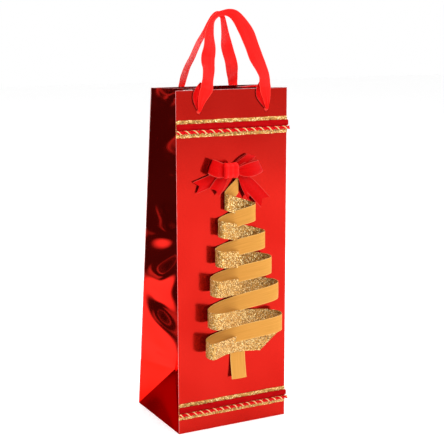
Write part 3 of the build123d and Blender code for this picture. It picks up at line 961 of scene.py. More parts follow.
@dataclass
class Wrapper:
    """The folded foil-card bag: panels, gussets, feet, and what lines them.

    Attributes:
        card: thickness of the card, in millimetres.
        hole_radius: radius of the handle holes.
        hole_sides: corners of a hole's rim.
        panel_grid: points of a panel across and up.
        gusset_grid: points of half a gusset across and up.
        facet_steps: how often a foot's facet is divided.
    """

    finishes: Finishes
    card: float = 0.5
    hole_radius: float = 2.5
    hole_sides: int = 28
    panel_grid: tuple[int, int] = (37, 101)
    gusset_grid: tuple[int, int] = (32, 150)
    facet_steps: int = 18

    def __post_init__(self) -> None:
        """Read the wrapper's main sizes from the frame."""
        low, high = box_mm("front_panel")
        self.half_width = float(high[0])
        self.front = float(low[1])
        self.height = float(high[2])
        back_low, back_high = box_mm("back_panel")
        self.half_depth = float(back_high[1])
        self.mouth_back = float(back_low[1]) + self.card
        self.crease_height = float(box_mm("left_gusset_rear")[0][2])

    def back(self, height: Points | float) -> Points | float:
        """Return the outer face of the leaning back panel."""
        return self.half_depth - height / self.height * (self.half_depth - self.mouth_back)

    def crease(self, height: Points | float) -> tuple[Points, Points]:
        """Return the gusset crease's distance in from the side, and its y."""
        half = (self.back(height) - self.front) / 2
        inset = np.sqrt(np.maximum(self.half_depth**2 - half**2, 0.0))
        return inset, (self.back(height) + self.front) / 2

    def build(self) -> None:
        """Make every piece of the wrapper."""
        self.panel("front_foil", "front_panel", False)
        self.panel("back_foil", "back_panel", True)
        for side, name in ((-1, "left"), (1, "right")):
            self.gusset_half(name, side, False)
            self.gusset_half(name, side, True)
            self.foot(name, side)
        self.dress_cad()

    def panel(self, name: str, node: str, rear: bool) -> None:
        """Make the front or the back panel, with its two holes and a slight wave.

        Args:
            name: the piece's name.
            node: the CAD node that it stands for.
            rear: whether it is the leaning back panel.
        """
        centres = [Vector((side * HOLE_PITCH / 2, HOLE_HEIGHT)) for side in (-1, 1)]

        def clearance(spot: Vector) -> float:
            """Return the distance to the middle of the nearer hole."""
            return min((spot - centre).length for centre in centres)

        flat = [
            Vector((x, z))
            for z in np.linspace(0.0, self.height, self.panel_grid[1])
            for x in np.linspace(-self.half_width, self.half_width, self.panel_grid[0])
        ]
        flat = [spot for spot in flat if clearance(spot) > self.hole_radius * 1.5]
        edges = []
        steps = self.hole_sides
        for centre in centres:
            first = len(flat)
            for step in range(steps):
                angle = 2 * math.pi * step / steps
                flat.append(centre + Vector((math.cos(angle), math.sin(angle))) * self.hole_radius)
                edges.append((first + step, first + (step + 1) % steps))
        cdt = geometry.delaunay_2d_cdt(flat, edges, [], 0, 1e-4)
        spots, faces = cdt[0], cdt[2]
        kept = []
        for face in faces:
            middle = sum((spots[i] for i in face), Vector((0.0, 0.0))) / len(face)
            if clearance(middle) > self.hole_radius * 0.98:
                kept.append(list(face))
        x = np.array([p.x for p in spots])
        z = np.array([p.y for p in spots])
        rim = smoothstep((self.half_width - np.abs(x)) / 18.0)
        wave = 0.22 * np.sin(x / 23.0 + z / 61.0) * np.sin(z / 47.0 + 0.6)
        wave = wave * rim * smoothstep(z / 30.0) * smoothstep((self.height - z) / 30.0)
        y = self.front + self.card / 2 + wave
        if rear:
            y = self.back(z) - self.card / 2 - np.abs(wave)
        points = lattice(x, y, z)
        kept = faced(points, kept, 1, 1 if rear else -1)
        finishes = self.finishes
        outside = finishes.folded_foil if rear else finishes.front_foil
        materials = (outside, finishes.liner, finishes.foil)
        uv = np.stack([x, z], axis=1) * MM
        settle(shell(name, points, kept, uv, self.card, materials), "foil", node)

    def gusset_half(self, name: str, side: int, rear: bool) -> None:
        """Make one half of a gusset, from its outer fold to the middle crease.

        Args:
            name: left or right.
            side: -1 for left and 1 for right.
            rear: whether it is the half nearer the back.
        """
        height = np.linspace(self.crease_height, self.height, self.gusset_grid[1])[:, None]
        share = np.linspace(0.0, 1.0, self.gusset_grid[0])[None, :]
        inset, crease_y = self.crease(height)
        fold_y = self.back(height) - self.card if rear else self.front + self.card
        x = side * (self.half_width - self.card / 2 - inset * share)
        grid = lattice(x, fold_y + (crease_y - fold_y) * share, height)
        flat = grid.reshape(-1, 3)
        faces = faced(flat, grid_faces(*grid.shape[:2]), 0, side)
        normal = vertex_normals(flat, faces).reshape(grid.shape)
        z = height + 0 * share
        across = share * self.half_depth + 0 * height
        shift = sum(buckle.lift(across, z) for buckle in GUSSET_BUCKLES)
        if not rear:
            shift = -0.7 * shift
        ease = np.sin(math.pi * share) ** 0.7
        ends = smoothstep((height - self.crease_height) / 22.0)
        ends = ends * smoothstep((self.height + 22.0 - height) / 30.0)
        flat = (grid + normal * (shift * ease * ends)[..., None]).reshape(-1, 3)
        uv = np.stack([across.ravel(), z.ravel()], axis=1) * MM
        materials = (self.finishes.folded_foil, self.finishes.liner, self.finishes.foil)
        half = f"{name}_gusset_{'rear' if rear else 'front'}"
        settle(shell(f"{half}_foil", flat, faces, uv, self.card, materials), "foil", half)

    def foot(self, name: str, side: int) -> None:
        """Make the three facets folded in under a gusset.

        Args:
            name: left or right.
            side: -1 for left and 1 for right.
        """
        inset, crease_y = self.crease(self.crease_height)
        outer = side * (self.half_width - self.card / 2)
        low, top = self.card / 2, self.crease_height
        apex = np.array([outer - side * inset, crease_y, top])
        front = [np.array([outer, self.front + self.card, z]) for z in (low, top)]
        back = [
            np.array([outer, self.back(fold) - self.card, z]) for fold, z in ((0.0, low), (top, top))
        ]
        finishes = self.finishes
        facets = [
            # The base facet's darker foil is painted shade.
            self.facet(f"{name}_foot_base", (front[0], back[0], apex), side, 0.9, finishes.foot_base_painted_shade_foil),
            self.facet(f"{name}_foot_front", (*front, apex), side, 0.3, finishes.foil),
            self.facet(f"{name}_foot_rear", (*back, apex), side, 0.4, finishes.foil),
        ]
        nodes = [f"{name}_foot_{facet}" for facet in ("base", "front", "rear")]
        settle(join(f"{name}_gusset_foot_foil", facets), "foil", *nodes)

    def facet(
        self, name: str, corners: Sequence[Points], side: int, bulge: float, outside: Material
    ) -> Piece:
        """Make one triangle of card, bulging a little in its middle.

        Args:
            name: the piece's name.
            corners: its three corners.
            side: which side of the bag it faces.
            bulge: how far its middle stands in, in millimetres.
            outside: the material of its outer face.

        Returns:
            The linked object.
        """
        steps = self.facet_steps
        numbers: dict[tuple[int, int], int] = {}
        points = []
        weights = []
        for i in range(steps + 1):
            for j in range(steps + 1 - i):
                numbers[(i, j)] = len(points)
                a, b = i / steps, j / steps
                points.append(corners[0] * (1 - a - b) + corners[1] * a + corners[2] * b)
                weights.append(27 * a * b * (1 - a - b))
        faces = []
        for i in range(steps):
            for j in range(steps - i):
                faces.append([numbers[(i, j)], numbers[(i + 1, j)], numbers[(i, j + 1)]])
                if i + j < steps - 1:
                    faces.append([numbers[(i + 1, j)], numbers[(i + 1, j + 1)], numbers[(i, j + 1)]])
        normal = unit(np.cross(corners[1] - corners[0], corners[2] - corners[0]))
        if (normal[0] > 0) != (side > 0):
            normal = -normal
            faces = [face[::-1] for face in faces]
        flat = np.array(points) - np.array(weights)[:, None] * normal * bulge
        materials = (outside, self.finishes.liner, self.finishes.foil)
        return shell(name, flat, faces, flat[:, 1:] * MM, self.card, materials)

    def dress_cad(self) -> None:
        """Give the hidden paper and board of the CAD model their finishes."""
        finishes = self.finishes
        dressed = (
            (finishes.foil, ("front_hem", "back_hem", "left_gusset_hem", "right_gusset_hem")),
            (finishes.board, ("front_card", "back_card", "base_board")),
            (finishes.liner, ("side_seam",)),
            (finishes.foil, ("bottom_back_flap", "bottom_front_flap", "bottom_side_flaps")),
            (finishes.glue, ("glue_dots",)),
        )
        for material, nodes in dressed:
            for node in nodes:
                dress_node(node, material)


# ---- Trim bands ----


@dataclass
class MeshMaker:
    """A Geometry Nodes tree with named inputs, which ends in one material.

    Attributes:
        name: the tree's name.
        material: what its result is made of.
        inputs: the name and kind of each input.
    """

    name: str
    material: Material
    inputs: dict[str, str]

    def __post_init__(self) -> None:
        """Start the tree."""
        tree = bpy.data.node_groups.new(self.name, "GeometryNodeTree")
        self.named = {}
        for socket, kind in self.inputs.items():
            item = tree.interface.new_socket(socket, in_out="INPUT", socket_type=f"NodeSocket{kind}")
            self.named[socket] = item.identifier
        tree.interface.new_socket("Geometry", in_out="OUTPUT", socket_type="NodeSocketGeometry")
        self.sheet = NodeSheet(tree)
        self.given = self.sheet.add("NodeGroupInput").outputs

    def end(self, shape: Socket) -> None:
        """End the tree: a shape's instances made real, and its material set."""
        real = self.sheet.add("GeometryNodeRealizeInstances", {0: shape}).outputs[0]
        values = {"Geometry": real, "Material": self.material}
        painted = self.sheet.add("GeometryNodeSetMaterial", values).outputs[0]
        self.sheet.add("NodeGroupOutput", {0: painted})

    def apply(self, piece: Piece, values: dict[str, object]) -> None:
        """Run the tree on a piece and leave a plain mesh of one material.

        Args:
            piece: the piece, whose mesh is replaced.
            values: the value of each named input.
        """
        modifier = piece.modifiers.new("shape", "NODES")
        modifier.node_group = self.sheet.tree
        for name, value in values.items():
            modifier[self.named[name]] = value
        graph = bpy.context.evaluated_depsgraph_get()
        mesh = bpy.data.meshes.new_from_object(
            piece.evaluated_get(graph), preserve_all_data_layers=True, depsgraph=graph
        )
        piece.modifiers.clear()
        piece.data = mesh
        mesh.materials.clear()
        mesh.materials.append(self.material)
        mesh.polygons.foreach_set("material_index", np.zeros(len(mesh.polygons), np.int32))


def ply_maker(material: Material) -> MeshMaker:
    """Return the maker of one ply that winds round a straight line along X."""
    numbers = ("Length", "Winding Radius", "Ply Radius", "Turn Length", "Start Angle")
    kinds = {**dict.fromkeys(numbers, "Float"), "Start": "Vector"}
    maker = MeshMaker(f"wound_{material.name}", material, kinds)
    sheet, given = maker.sheet, maker.given
    values = {"Direction": (1.0, 0.0, 0.0), "Length": given["Length"]}
    line = sheet.add("GeometryNodeCurvePrimitiveLine", values, mode="DIRECTION").outputs[0]
    points = sheet.add("GeometryNodeResampleCurve", {"Count": 420, "Curve": line}).outputs[0]
    x = sheet.parts(sheet.add("GeometryNodeInputPosition").outputs[0])[0]
    turns = sheet.math("MULTIPLY", sheet.math("DIVIDE", x, given["Turn Length"]), 2 * math.pi)
    angle = sheet.math("ADD", turns, given["Start Angle"])
    y = sheet.math("MULTIPLY", sheet.math("COSINE", angle), given["Winding Radius"])
    z = sheet.math("MULTIPLY", sheet.math("SINE", angle), given["Winding Radius"])
    ring = sheet.add("ShaderNodeCombineXYZ", {0: 0.0, 1: y, 2: z}).outputs[0]
    values = {"Geometry": points, "Offset": sheet.vector("ADD", ring, given["Start"])}
    moved = sheet.add("GeometryNodeSetPosition", values).outputs[0]
    values = {"Resolution": 10, "Radius": given["Ply Radius"]}
    section = sheet.add("GeometryNodeCurvePrimitiveCircle", values).outputs[0]
    values = {"Curve": moved, "Profile Curve": section, "Fill Caps": True}
    maker.end(sheet.add("GeometryNodeCurveToMesh", values).outputs[0])
    return maker


def flake_maker(material: Material) -> MeshMaker:
    """Return the maker of the glitter flakes strewn on a ribbon's front."""
    kinds = {"Geometry": "Geometry", "Flake Radius": "Float", "Density": "Float", "Seed": "Int"}
    maker = MeshMaker("strewn_flakes", material, kinds)
    sheet, given = maker.sheet, maker.given
    slot = sheet.add("GeometryNodeInputMaterialIndex").outputs[0]
    front = sheet.add("FunctionNodeCompare", {"A": slot}, data_type="INT", operation="EQUAL")
    values = {
        "Mesh": given["Geometry"],
        "Selection": front.outputs[0],
        "Density": given["Density"],
        "Seed": given["Seed"],
    }
    spots = sheet.add("GeometryNodeDistributePointsOnFaces", values).outputs
    values = {"Vertices": 5, "Radius": given["Flake Radius"]}
    flake = sheet.add("GeometryNodeMeshCircle", values, fill_type="NGON").outputs[0]
    values = {"Min": (-0.6, -0.6, -3.1), "Max": (0.6, 0.6, 3.1), "Seed": given["Seed"]}
    tilt = sheet.add("FunctionNodeRandomValue", values, data_type="FLOAT_VECTOR").outputs[0]
    values = {0: spots["Rotation"], 1: tilt}
    turned = sheet.add("FunctionNodeRotateRotation", values, rotation_space="LOCAL").outputs[0]
    values = {"Points": spots["Points"], "Instance": flake, "Rotation": turned}
    maker.end(sheet.add("GeometryNodeInstanceOnPoints", values).outputs[0])
    return maker


@dataclass
class Flakes:
    """Loose flakes of glitter standing on the coated ribbons."""

    finishes: Finishes
    radius: float = 0.00018
    density: float = 360000.0

    def __post_init__(self) -> None:
        """Build the tree once."""
        self.maker = flake_maker(self.finishes.flake)

    def strew(self, ribbon: Piece, seed: int) -> None:
        """Strew flakes on a ribbon, as one plain mesh.

        Args:
            ribbon: the ribbon, whose first material slot is its coated face.
            seed: the fixed seed.
        """
        piece = new_object(f"{ribbon.name}_flakes", ribbon.data.copy())
        values = {"Flake Radius": self.radius, "Density": self.density, "Seed": seed}
        self.maker.apply(piece, values)
        settle(piece, "gold_glitter")


@dataclass
class TrimBand:
    """A glitter ribbon with a velvet ribbon and a twisted cord laid along it.

    Attributes:
        name: top or base.
        flakes: what strews the glitter.
        turn_length: length in which a ply goes once round the cord.
        end_trim: how much shorter the velvet's pile is than its room.
    """

    name: str
    finishes: Finishes
    flakes: Flakes
    turn_length: float
    end_trim: float = 0.9

    def build(self) -> None:
        """Make the band's pieces."""
        self.glitter()
        self.velvet()
        self.cord()

    def glitter(self) -> None:
        """Make the coated ribbon, its edges slightly uneven."""
        low, high = box_mm(f"{self.name}_glitter_ribbon")
        x = np.linspace(low[0], high[0], 160)[:, None]
        share = np.linspace(0.0, 1.0, 14)[None, :]
        wobble = 0.16 * np.sin(x / 7.3 + low[2]) + 0.1 * np.sin(x / 2.9)
        z = low[2] + (high[2] - low[2]) * share + wobble * (2 * share - 1) * 0.8
        y = (low[1] + high[1]) / 2 + 0.08 * np.sin(x / 11.0 + share * 5.0) * np.sin(math.pi * share)
        materials = (self.finishes.glitter, self.finishes.gold_satin, self.finishes.glitter)
        piece = grid_shell(f"{self.name}_glitter_band", lattice(x, y, z), 0.5, materials)
        fronts = [p for p in piece.data.polygons if p.material_index == Face.FRONT]
        if sum(p.normal.y * p.area for p in fronts) > 0:
            turn_over(piece)
        settle(piece, "gold_glitter", f"{self.name}_glitter_ribbon")
        self.flakes.strew(piece, 11 + len(self.name))

    def velvet(self) -> None:
        """Make the velvet ribbon with its crowned pile."""
        low, high = box_mm(f"{self.name}_velvet_ribbon")
        angles = np.linspace(0.0, 2 * math.pi, 28, endpoint=False)
        x = np.linspace(low[0], high[0] - self.end_trim, 150)[:, None]
        taper = 0.72 + 0.28 * smoothstep(np.minimum(x - x[0], x[-1] - x) / 0.7)
        swell = taper * (1.0 + 0.03 * np.sin(x / 5.1) + 0.02 * np.sin(x / 1.7))
        middle, half = (low + high) / 2, (high - low) / 2
        y = middle[1] + rounded(np.cos(angles), 0.8) * half[1] * swell
        z = middle[2] + rounded(np.sin(angles), 0.62) * half[2] * swell
        piece = ring_solid(f"{self.name}_velvet_band", lattice(x, y, z), self.finishes.velvet)
        settle(piece, "velvet", f"{self.name}_velvet_ribbon")

    def cord(self) -> None:
        """Wind the cord's plies: two thick red ones with a thin gold one in their groove."""
        low, high = box_mm(f"{self.name}_twisted_cord")
        radius = (high[2] - low[2]) / 2
        start = (low + high) / 2
        start[0] = low[0]
        plies = (
            ("red_a", self.finishes.red_ply, 0.48, 0.52, 0.0),
            ("red_b", self.finishes.red_ply, 0.48, 0.52, math.pi),
            ("gold", self.finishes.gold_ply, 0.75, 0.27, math.pi / 2),
        )
        made = []
        for ply, material, winding, thick, angle in plies:
            mesh = bpy.data.meshes.new(f"{self.name}_{ply}")
            piece = new_object(f"{self.name}_cord_{ply}", mesh)
            values = {
                "Length": float(high[0] - low[0]) * MM,
                "Winding Radius": radius * winding * MM,
                "Ply Radius": radius * thick * MM,
                "Turn Length": self.turn_length * MM,
                "Start Angle": angle,
                "Start": tuple((start * MM).tolist()),
            }
            ply_maker(material).apply(piece, values)
            made.append(piece)
        settle(join(f"{self.name}_cord_red", made[:2]), "twisted_cord", f"{self.name}_twisted_cord")
        made[2].name = f"{self.name}_cord_gold"
        settle(made[2], "twisted_cord")


# ---- Ribbon tree ----


@dataclass
class RibbonTree:
    """One gold ribbon on edge that winds from side to side, and its trunk.

    Attributes:
        flakes: what strews the glitter.
        front: the panel's face.
        back_gap: how far the ribbon's middle stays off the panel.
        warp_left: how early a pass to the left leaves its bulge for the panel.
        warp_right: how early a pass to the right does.
        steps: rows in a pass.
        cut_slope: how far the last end's slanted cut reaches past its middle.
        left_turns: the turns at the left, as x, height and stand-off.
        right_turns: the turns at the right.
    """

    finishes: Finishes
    flakes: Flakes
    front: float
    width: float = 17.0
    thickness: float = 0.45
    back_gap: float = 0.9
    warp_left: float = 0.80
    warp_right: float = 0.72
    steps: int = 22
    cut_slope: float = 11.0
    left_turns: tuple[Triple, ...] = (
        (-11.0, 238.0, 3.0),
        (-20.0, 212.0, 6.5),
        (-24.0, 182.5, 8.0),
        (-31.0, 153.5, 10.5),
        (-34.5, 121.0, 11.5),
        (-37.0, 90.0, 11.5),
    )
    right_turns: tuple[Triple, ...] = (
        (5.0, 255.0, 1.0),
        (21.0, 227.0, 6.0),
        (31.0, 198.5, 7.5),
        (37.5, 172.0, 9.0),
        (45.0, 145.0, 10.0),
        (50.0, 110.5, 10.0),
        (41.5, 85.5, 1.8),
    )

    def winding(self, start: Triple, end: Triple, warp: float) -> list[Triple]:
        """Return the points of one pass, which bulges forward and then lies on the panel.

        Args:
            start: the turn that it leaves.
            end: the turn that it reaches.
            warp: how early it leaves its bulge for the panel.

        Returns:
            Rows of x, stand-off and height.
        """
        rows = []
        for step in range(self.steps):
            share = step / self.steps
            across = (1 - math.cos(math.pi * share)) / 2
            x, height, middle = (a + (b - a) * across for a, b in zip(start, end))
            off = middle * (1 + math.sin(2 * math.pi * share**warp))
            rows.append((x, off + self.back_gap, height))
        return rows

    def build(self) -> None:
        """Make the tree and the trunk."""
        route: list[Triple] = []
        for index, left in enumerate(self.left_turns):
            route += self.winding(self.right_turns[index], left, self.warp_left)
            route += self.winding(left, self.right_turns[index + 1], self.warp_right)
        x, height, off = self.right_turns[-1]
        smooth = np.array([*route, (x, off + self.back_gap, height)])
        for _ in range(2):
            smooth[1:-1] = (smooth[:-2] + 2 * smooth[1:-1] + smooth[2:]) / 4
        share = np.linspace(-0.5, 0.5, 11)[None, :]
        x, off, height = (smooth[:, column : column + 1] for column in range(3))
        rows = np.arange(len(smooth))[:, None]
        cup = 0.35 * (1 - (2 * share) ** 2) * np.sin(rows / 9.0)
        off = off + cup * smoothstep((off - 1.5) / 4.0)
        tail = smoothstep((rows - (len(smooth) - self.steps)) / self.steps)
        x = x + tail * share * 2 * self.cut_slope
        grid = lattice(x, self.front - off, height + share * self.width)
        materials = (self.finishes.glitter, self.finishes.gold_satin, self.finishes.glitter)
        piece = grid_shell("tree_winding", grid, self.thickness, materials)
        if [p for p in piece.data.polygons if p.material_index == Face.FRONT][-1].normal.y > 0:
            turn_over(piece)
        settle(piece, "gold_glitter", "tree_ribbon")
        self.flakes.strew(piece, 5)
        self.trunk()

    def trunk(self) -> None:
        """Make the trunk, a short strip that lifts off at its lower end."""
        low, high = box_mm("trunk_ribbon")
        share = np.linspace(0.0, 1.0, 26)[:, None]
        across = np.linspace(0.0, 1.0, 11)[None, :]
        lift = 0.3 + (high[1] - low[1] - 0.8) * share**1.6
        curl = 0.8 * share**2 * (2 * across - 1) ** 2
        x = low[0] + (high[0] - low[0]) * across
        z = high[2] + (low[2] - high[2]) * share
        grid = lattice(x, self.front - lift + curl, z)
        piece = grid_shell("trunk_strip", grid, 0.4, (self.finishes.gold_satin,) * 3)
        settle(piece, "gold_satin", "trunk_ribbon")


# ---- Bow ----


@dataclass(frozen=True)
class LoopShape:
    """One loop of the bow, drawn by its upper and lower edges.

    Attributes:
        upper: x and height of three points of its upper edge, from the knot out.
        lower: three points of its lower edge.
        bulge: how far apart its two layers stand.
        offset: its middle's stand-off from the panel.
    """

    upper: tuple[Spot, Spot, Spot]
    lower: tuple[Spot, Spot, Spot]
    bulge: float
    offset: float


@dataclass(frozen=True)
class TailShape:
    """One flat tail of the bow.

    Attributes:
        root: x and height where it leaves the knot.
        end: x and height of the middle of its end.
        width: the ribbon's width.
        notch: how deep its end is cut in a V.
        offset: its stand-off from the panel.
    """

    root: Spot
    end: Spot
    width: float
    notch: float
    offset: float


def curve_edge(spots: Sequence[Spot], reach: Points) -> Points:
    """Return x and height at each share of the reach along an edge through three spots."""
    root, middle, end = (np.array(spot) for spot in spots)
    share = reach[..., None]
    start = root * (1 - share) * (1 - 2 * share)
    return start + middle * 4 * share * (1 - share) + end * share * (2 * share - 1)


FRONT_LOOPS = (
    LoopShape(
        ((-10.0, 274.5), (-18.6, 279.0), (-26.6, 282.4)),
        ((-10.0, 266.5), (-20.6, 263.8), (-32.0, 268.6)),
        6.6,
        8.4,
    ),
    LoopShape(
        ((-1.0, 271.8), (11.5, 276.8), (24.2, 278.6)),
        ((-1.0, 266.8), (13.5, 262.8), (29.8, 267.6)),
        6.6,
        8.4,
    ),
)
REAR_LOOPS = (
    LoopShape(
        ((-12.0, 275.5), (-18.0, 279.0), (-23.5, 281.0)),
        ((-12.0, 267.0), (-20.0, 267.0), (-28.0, 272.0)),
        3.0,
        2.8,
    ),
    LoopShape(
        ((-1.0, 275.0), (7.0, 280.6), (14.5, 285.0)),
        ((-1.0, 268.0), (12.0, 274.0), (24.5, 282.0)),
        3.4,
        2.8,
    ),
)
REAR_TAILS = (
    TailShape((-8.6, 265.5), (-43.8, 254.2), 12.4, 5.0, 2.6),
    TailShape((4.5, 263.0), (17.0, 239.8), 6.4, 2.5, 5.2),
)
FRONT_TAILS = (
    TailShape((-11.0, 264.0), (-23.4, 248.6), 14.2, 2.4, 4.4),
    TailShape((3.2, 267.5), (34.4, 234.7), 14.6, 5.5, 5.3),
)


@dataclass
class Bow:
    """The red bow: knot wrap, front and rear loops, and two layers of tails."""

    finishes: Finishes
    front: float
    ribbon: float = 0.4
    strip: float = 14.0

    def build(self) -> None:
        """Make the bow's pieces."""
        self.loops("bow_front_loop", "bow_front_loops", FRONT_LOOPS)
        self.loops("bow_rear_loop", "bow_rear_loops", REAR_LOOPS)
        self.tails("bow_rear_tail", "bow_rear_tails", REAR_TAILS, 0.0)
        self.tails("bow_front_tail", "bow_front_tails", FRONT_TAILS, 0.9)
        self.knot()

    def loops(self, name: str, node: str, shapes: Sequence[LoopShape]) -> None:
        """Make a pair of loops as one piece.

        Args:
            name: the piece's name.
            node: the CAD node that it stands for.
            shapes: the two loops.
        """
        made = []
        area = 0.0
        total = 0.0
        turn = np.linspace(0.0, 2 * math.pi, 72, endpoint=False)[:, None]
        share = np.linspace(0.0, 1.0, 13)[None, :]
        reach = (1 - np.cos(turn)) / 2 + 0 * share
        ease = smoothstep(reach * 1.5)
        for index, shape in enumerate(shapes):
            low = curve_edge(shape.lower, reach)
            flat = low + (curve_edge(shape.upper, reach) - low) * share[..., None]
            depth = -np.sin(turn) * (shape.bulge / 2 * (0.5 + 0.5 * ease))
            pleat = (1 - ease) * 0.5 * np.cos(4 * math.pi * share)
            pleat = pleat + 0.35 * ease * np.sin(2 * math.pi * share + index)
            crown = 0.6 * ease * (1 - (2 * share - 1) ** 2)
            depth = depth + (pleat + crown) * np.sign(depth + 1e-9)
            grid = lattice(flat[..., 0], self.front - shape.offset + depth, flat[..., 1])
            length = float(run(grid[:, 6])[-1])
            area += length * float(np.linalg.norm(grid[:, -1] - grid[:, 0], axis=1).mean())
            total += length
            # The loops take the darker satin copy: painted shade.
            finish = (self.finishes.bow_satin_painted_shade,) * 3
            made.append(grid_shell(f"{name}_{index}", grid, self.ribbon, finish, ring=True))
        self.finish(name, node, made, total, area, "folded")

    def tails(self, name: str, node: str, shapes: Sequence[TailShape], curl: float) -> None:
        """Make a pair of tails as one piece, each cut in a V.

        Args:
            name: the piece's name.
            node: the CAD node that it stands for.
            shapes: the two tails.
            curl: how far the free end lifts, in millimetres.
        """
        made = []
        area = 0.0
        total = 0.0
        rows = np.linspace(0.0, 1.0, 30)[:, None]
        share = np.linspace(-0.5, 0.5, 13)[None, :]
        for index, shape in enumerate(shapes):
            start, tip = np.array(shape.root), np.array(shape.end)
            length = float(np.linalg.norm(tip - start))
            along = (tip - start) / length
            reached = rows * (length - shape.notch * (1 - np.abs(2 * share)))
            gather = 0.60 + 0.40 * smoothstep(reached / (length * 0.55))
            spread = share * shape.width * gather
            x = start[0] + along[0] * reached - along[1] * spread
            z = start[1] + along[1] * reached + along[0] * spread
            roll = 0.6 * np.cos(2 * math.pi * share + index) * smoothstep(reached / 10.0)
            lift = curl * (reached / length) ** 2 + roll * 0.6
            grid = lattice(x, self.front - shape.offset - lift, z)
            # The tails take the darker satin copy: painted shade.
            finish = (self.finishes.bow_satin_painted_shade,) * 3
            made.append(grid_shell(f"{name}_{index}", grid, self.ribbon, finish))
            area += shape.width * 0.88 * (length - shape.notch / 2)
            total += length
        self.finish(name, node, made, total, area, "laid")

    def finish(
        self, name: str, node: str, made: Sequence[Piece], length: float, area: float, held: str
    ) -> None:
        """Join a pair of loops or tails, turn its faces outwards and put it on the bag.

        Args:
            name: the piece's name.
            node: the CAD node that it stands for.
            made: the two halves.
            length: length of ribbon in both; not used.
            area: flat area of both; not used.
            held: how the ribbon is held; not used.
        """
        piece = join(name, made)
        recalc(piece)
        settle(piece, "red_satin", node)

    def knot(self) -> None:
        """Make the wrap over the middle, a gathered band of ribbon."""
        low, high = box_mm("bow_knot_wrap")
        centre, half = (low + high) / 2, (high - low) / 2
        angles = np.linspace(0.0, 2 * math.pi, 48, endpoint=False)
        cosine, sine = np.cos(angles), np.sin(angles)
        place = np.linspace(-1.0, 1.0, 26)[:, None]
        pleats = 1.0 + 0.035 * np.cos(place * 9.0 + 0.7)
        waist = 0.93 + 0.07 * place * place
        end = 1.0 - 0.10 * smoothstep((np.abs(place) - 0.86) / 0.14)
        scale = np.minimum(pleats * waist * end, 1.0)
        rings = lattice(
            centre[0] + place * half[0] * (1 - 0.03 * np.abs(sine)),
            centre[1] + rounded(cosine, 0.7) * half[1] * scale,
            centre[2] + rounded(sine, 0.6) * half[2] * scale,
        )
        # The knot takes the lighter satin copy: painted light.
        piece = ring_solid("bow_knot", rings, self.finishes.knot_satin_painted_light)
        settle(piece, "red_satin", "bow_knot_wrap")


# ---- Handles ----


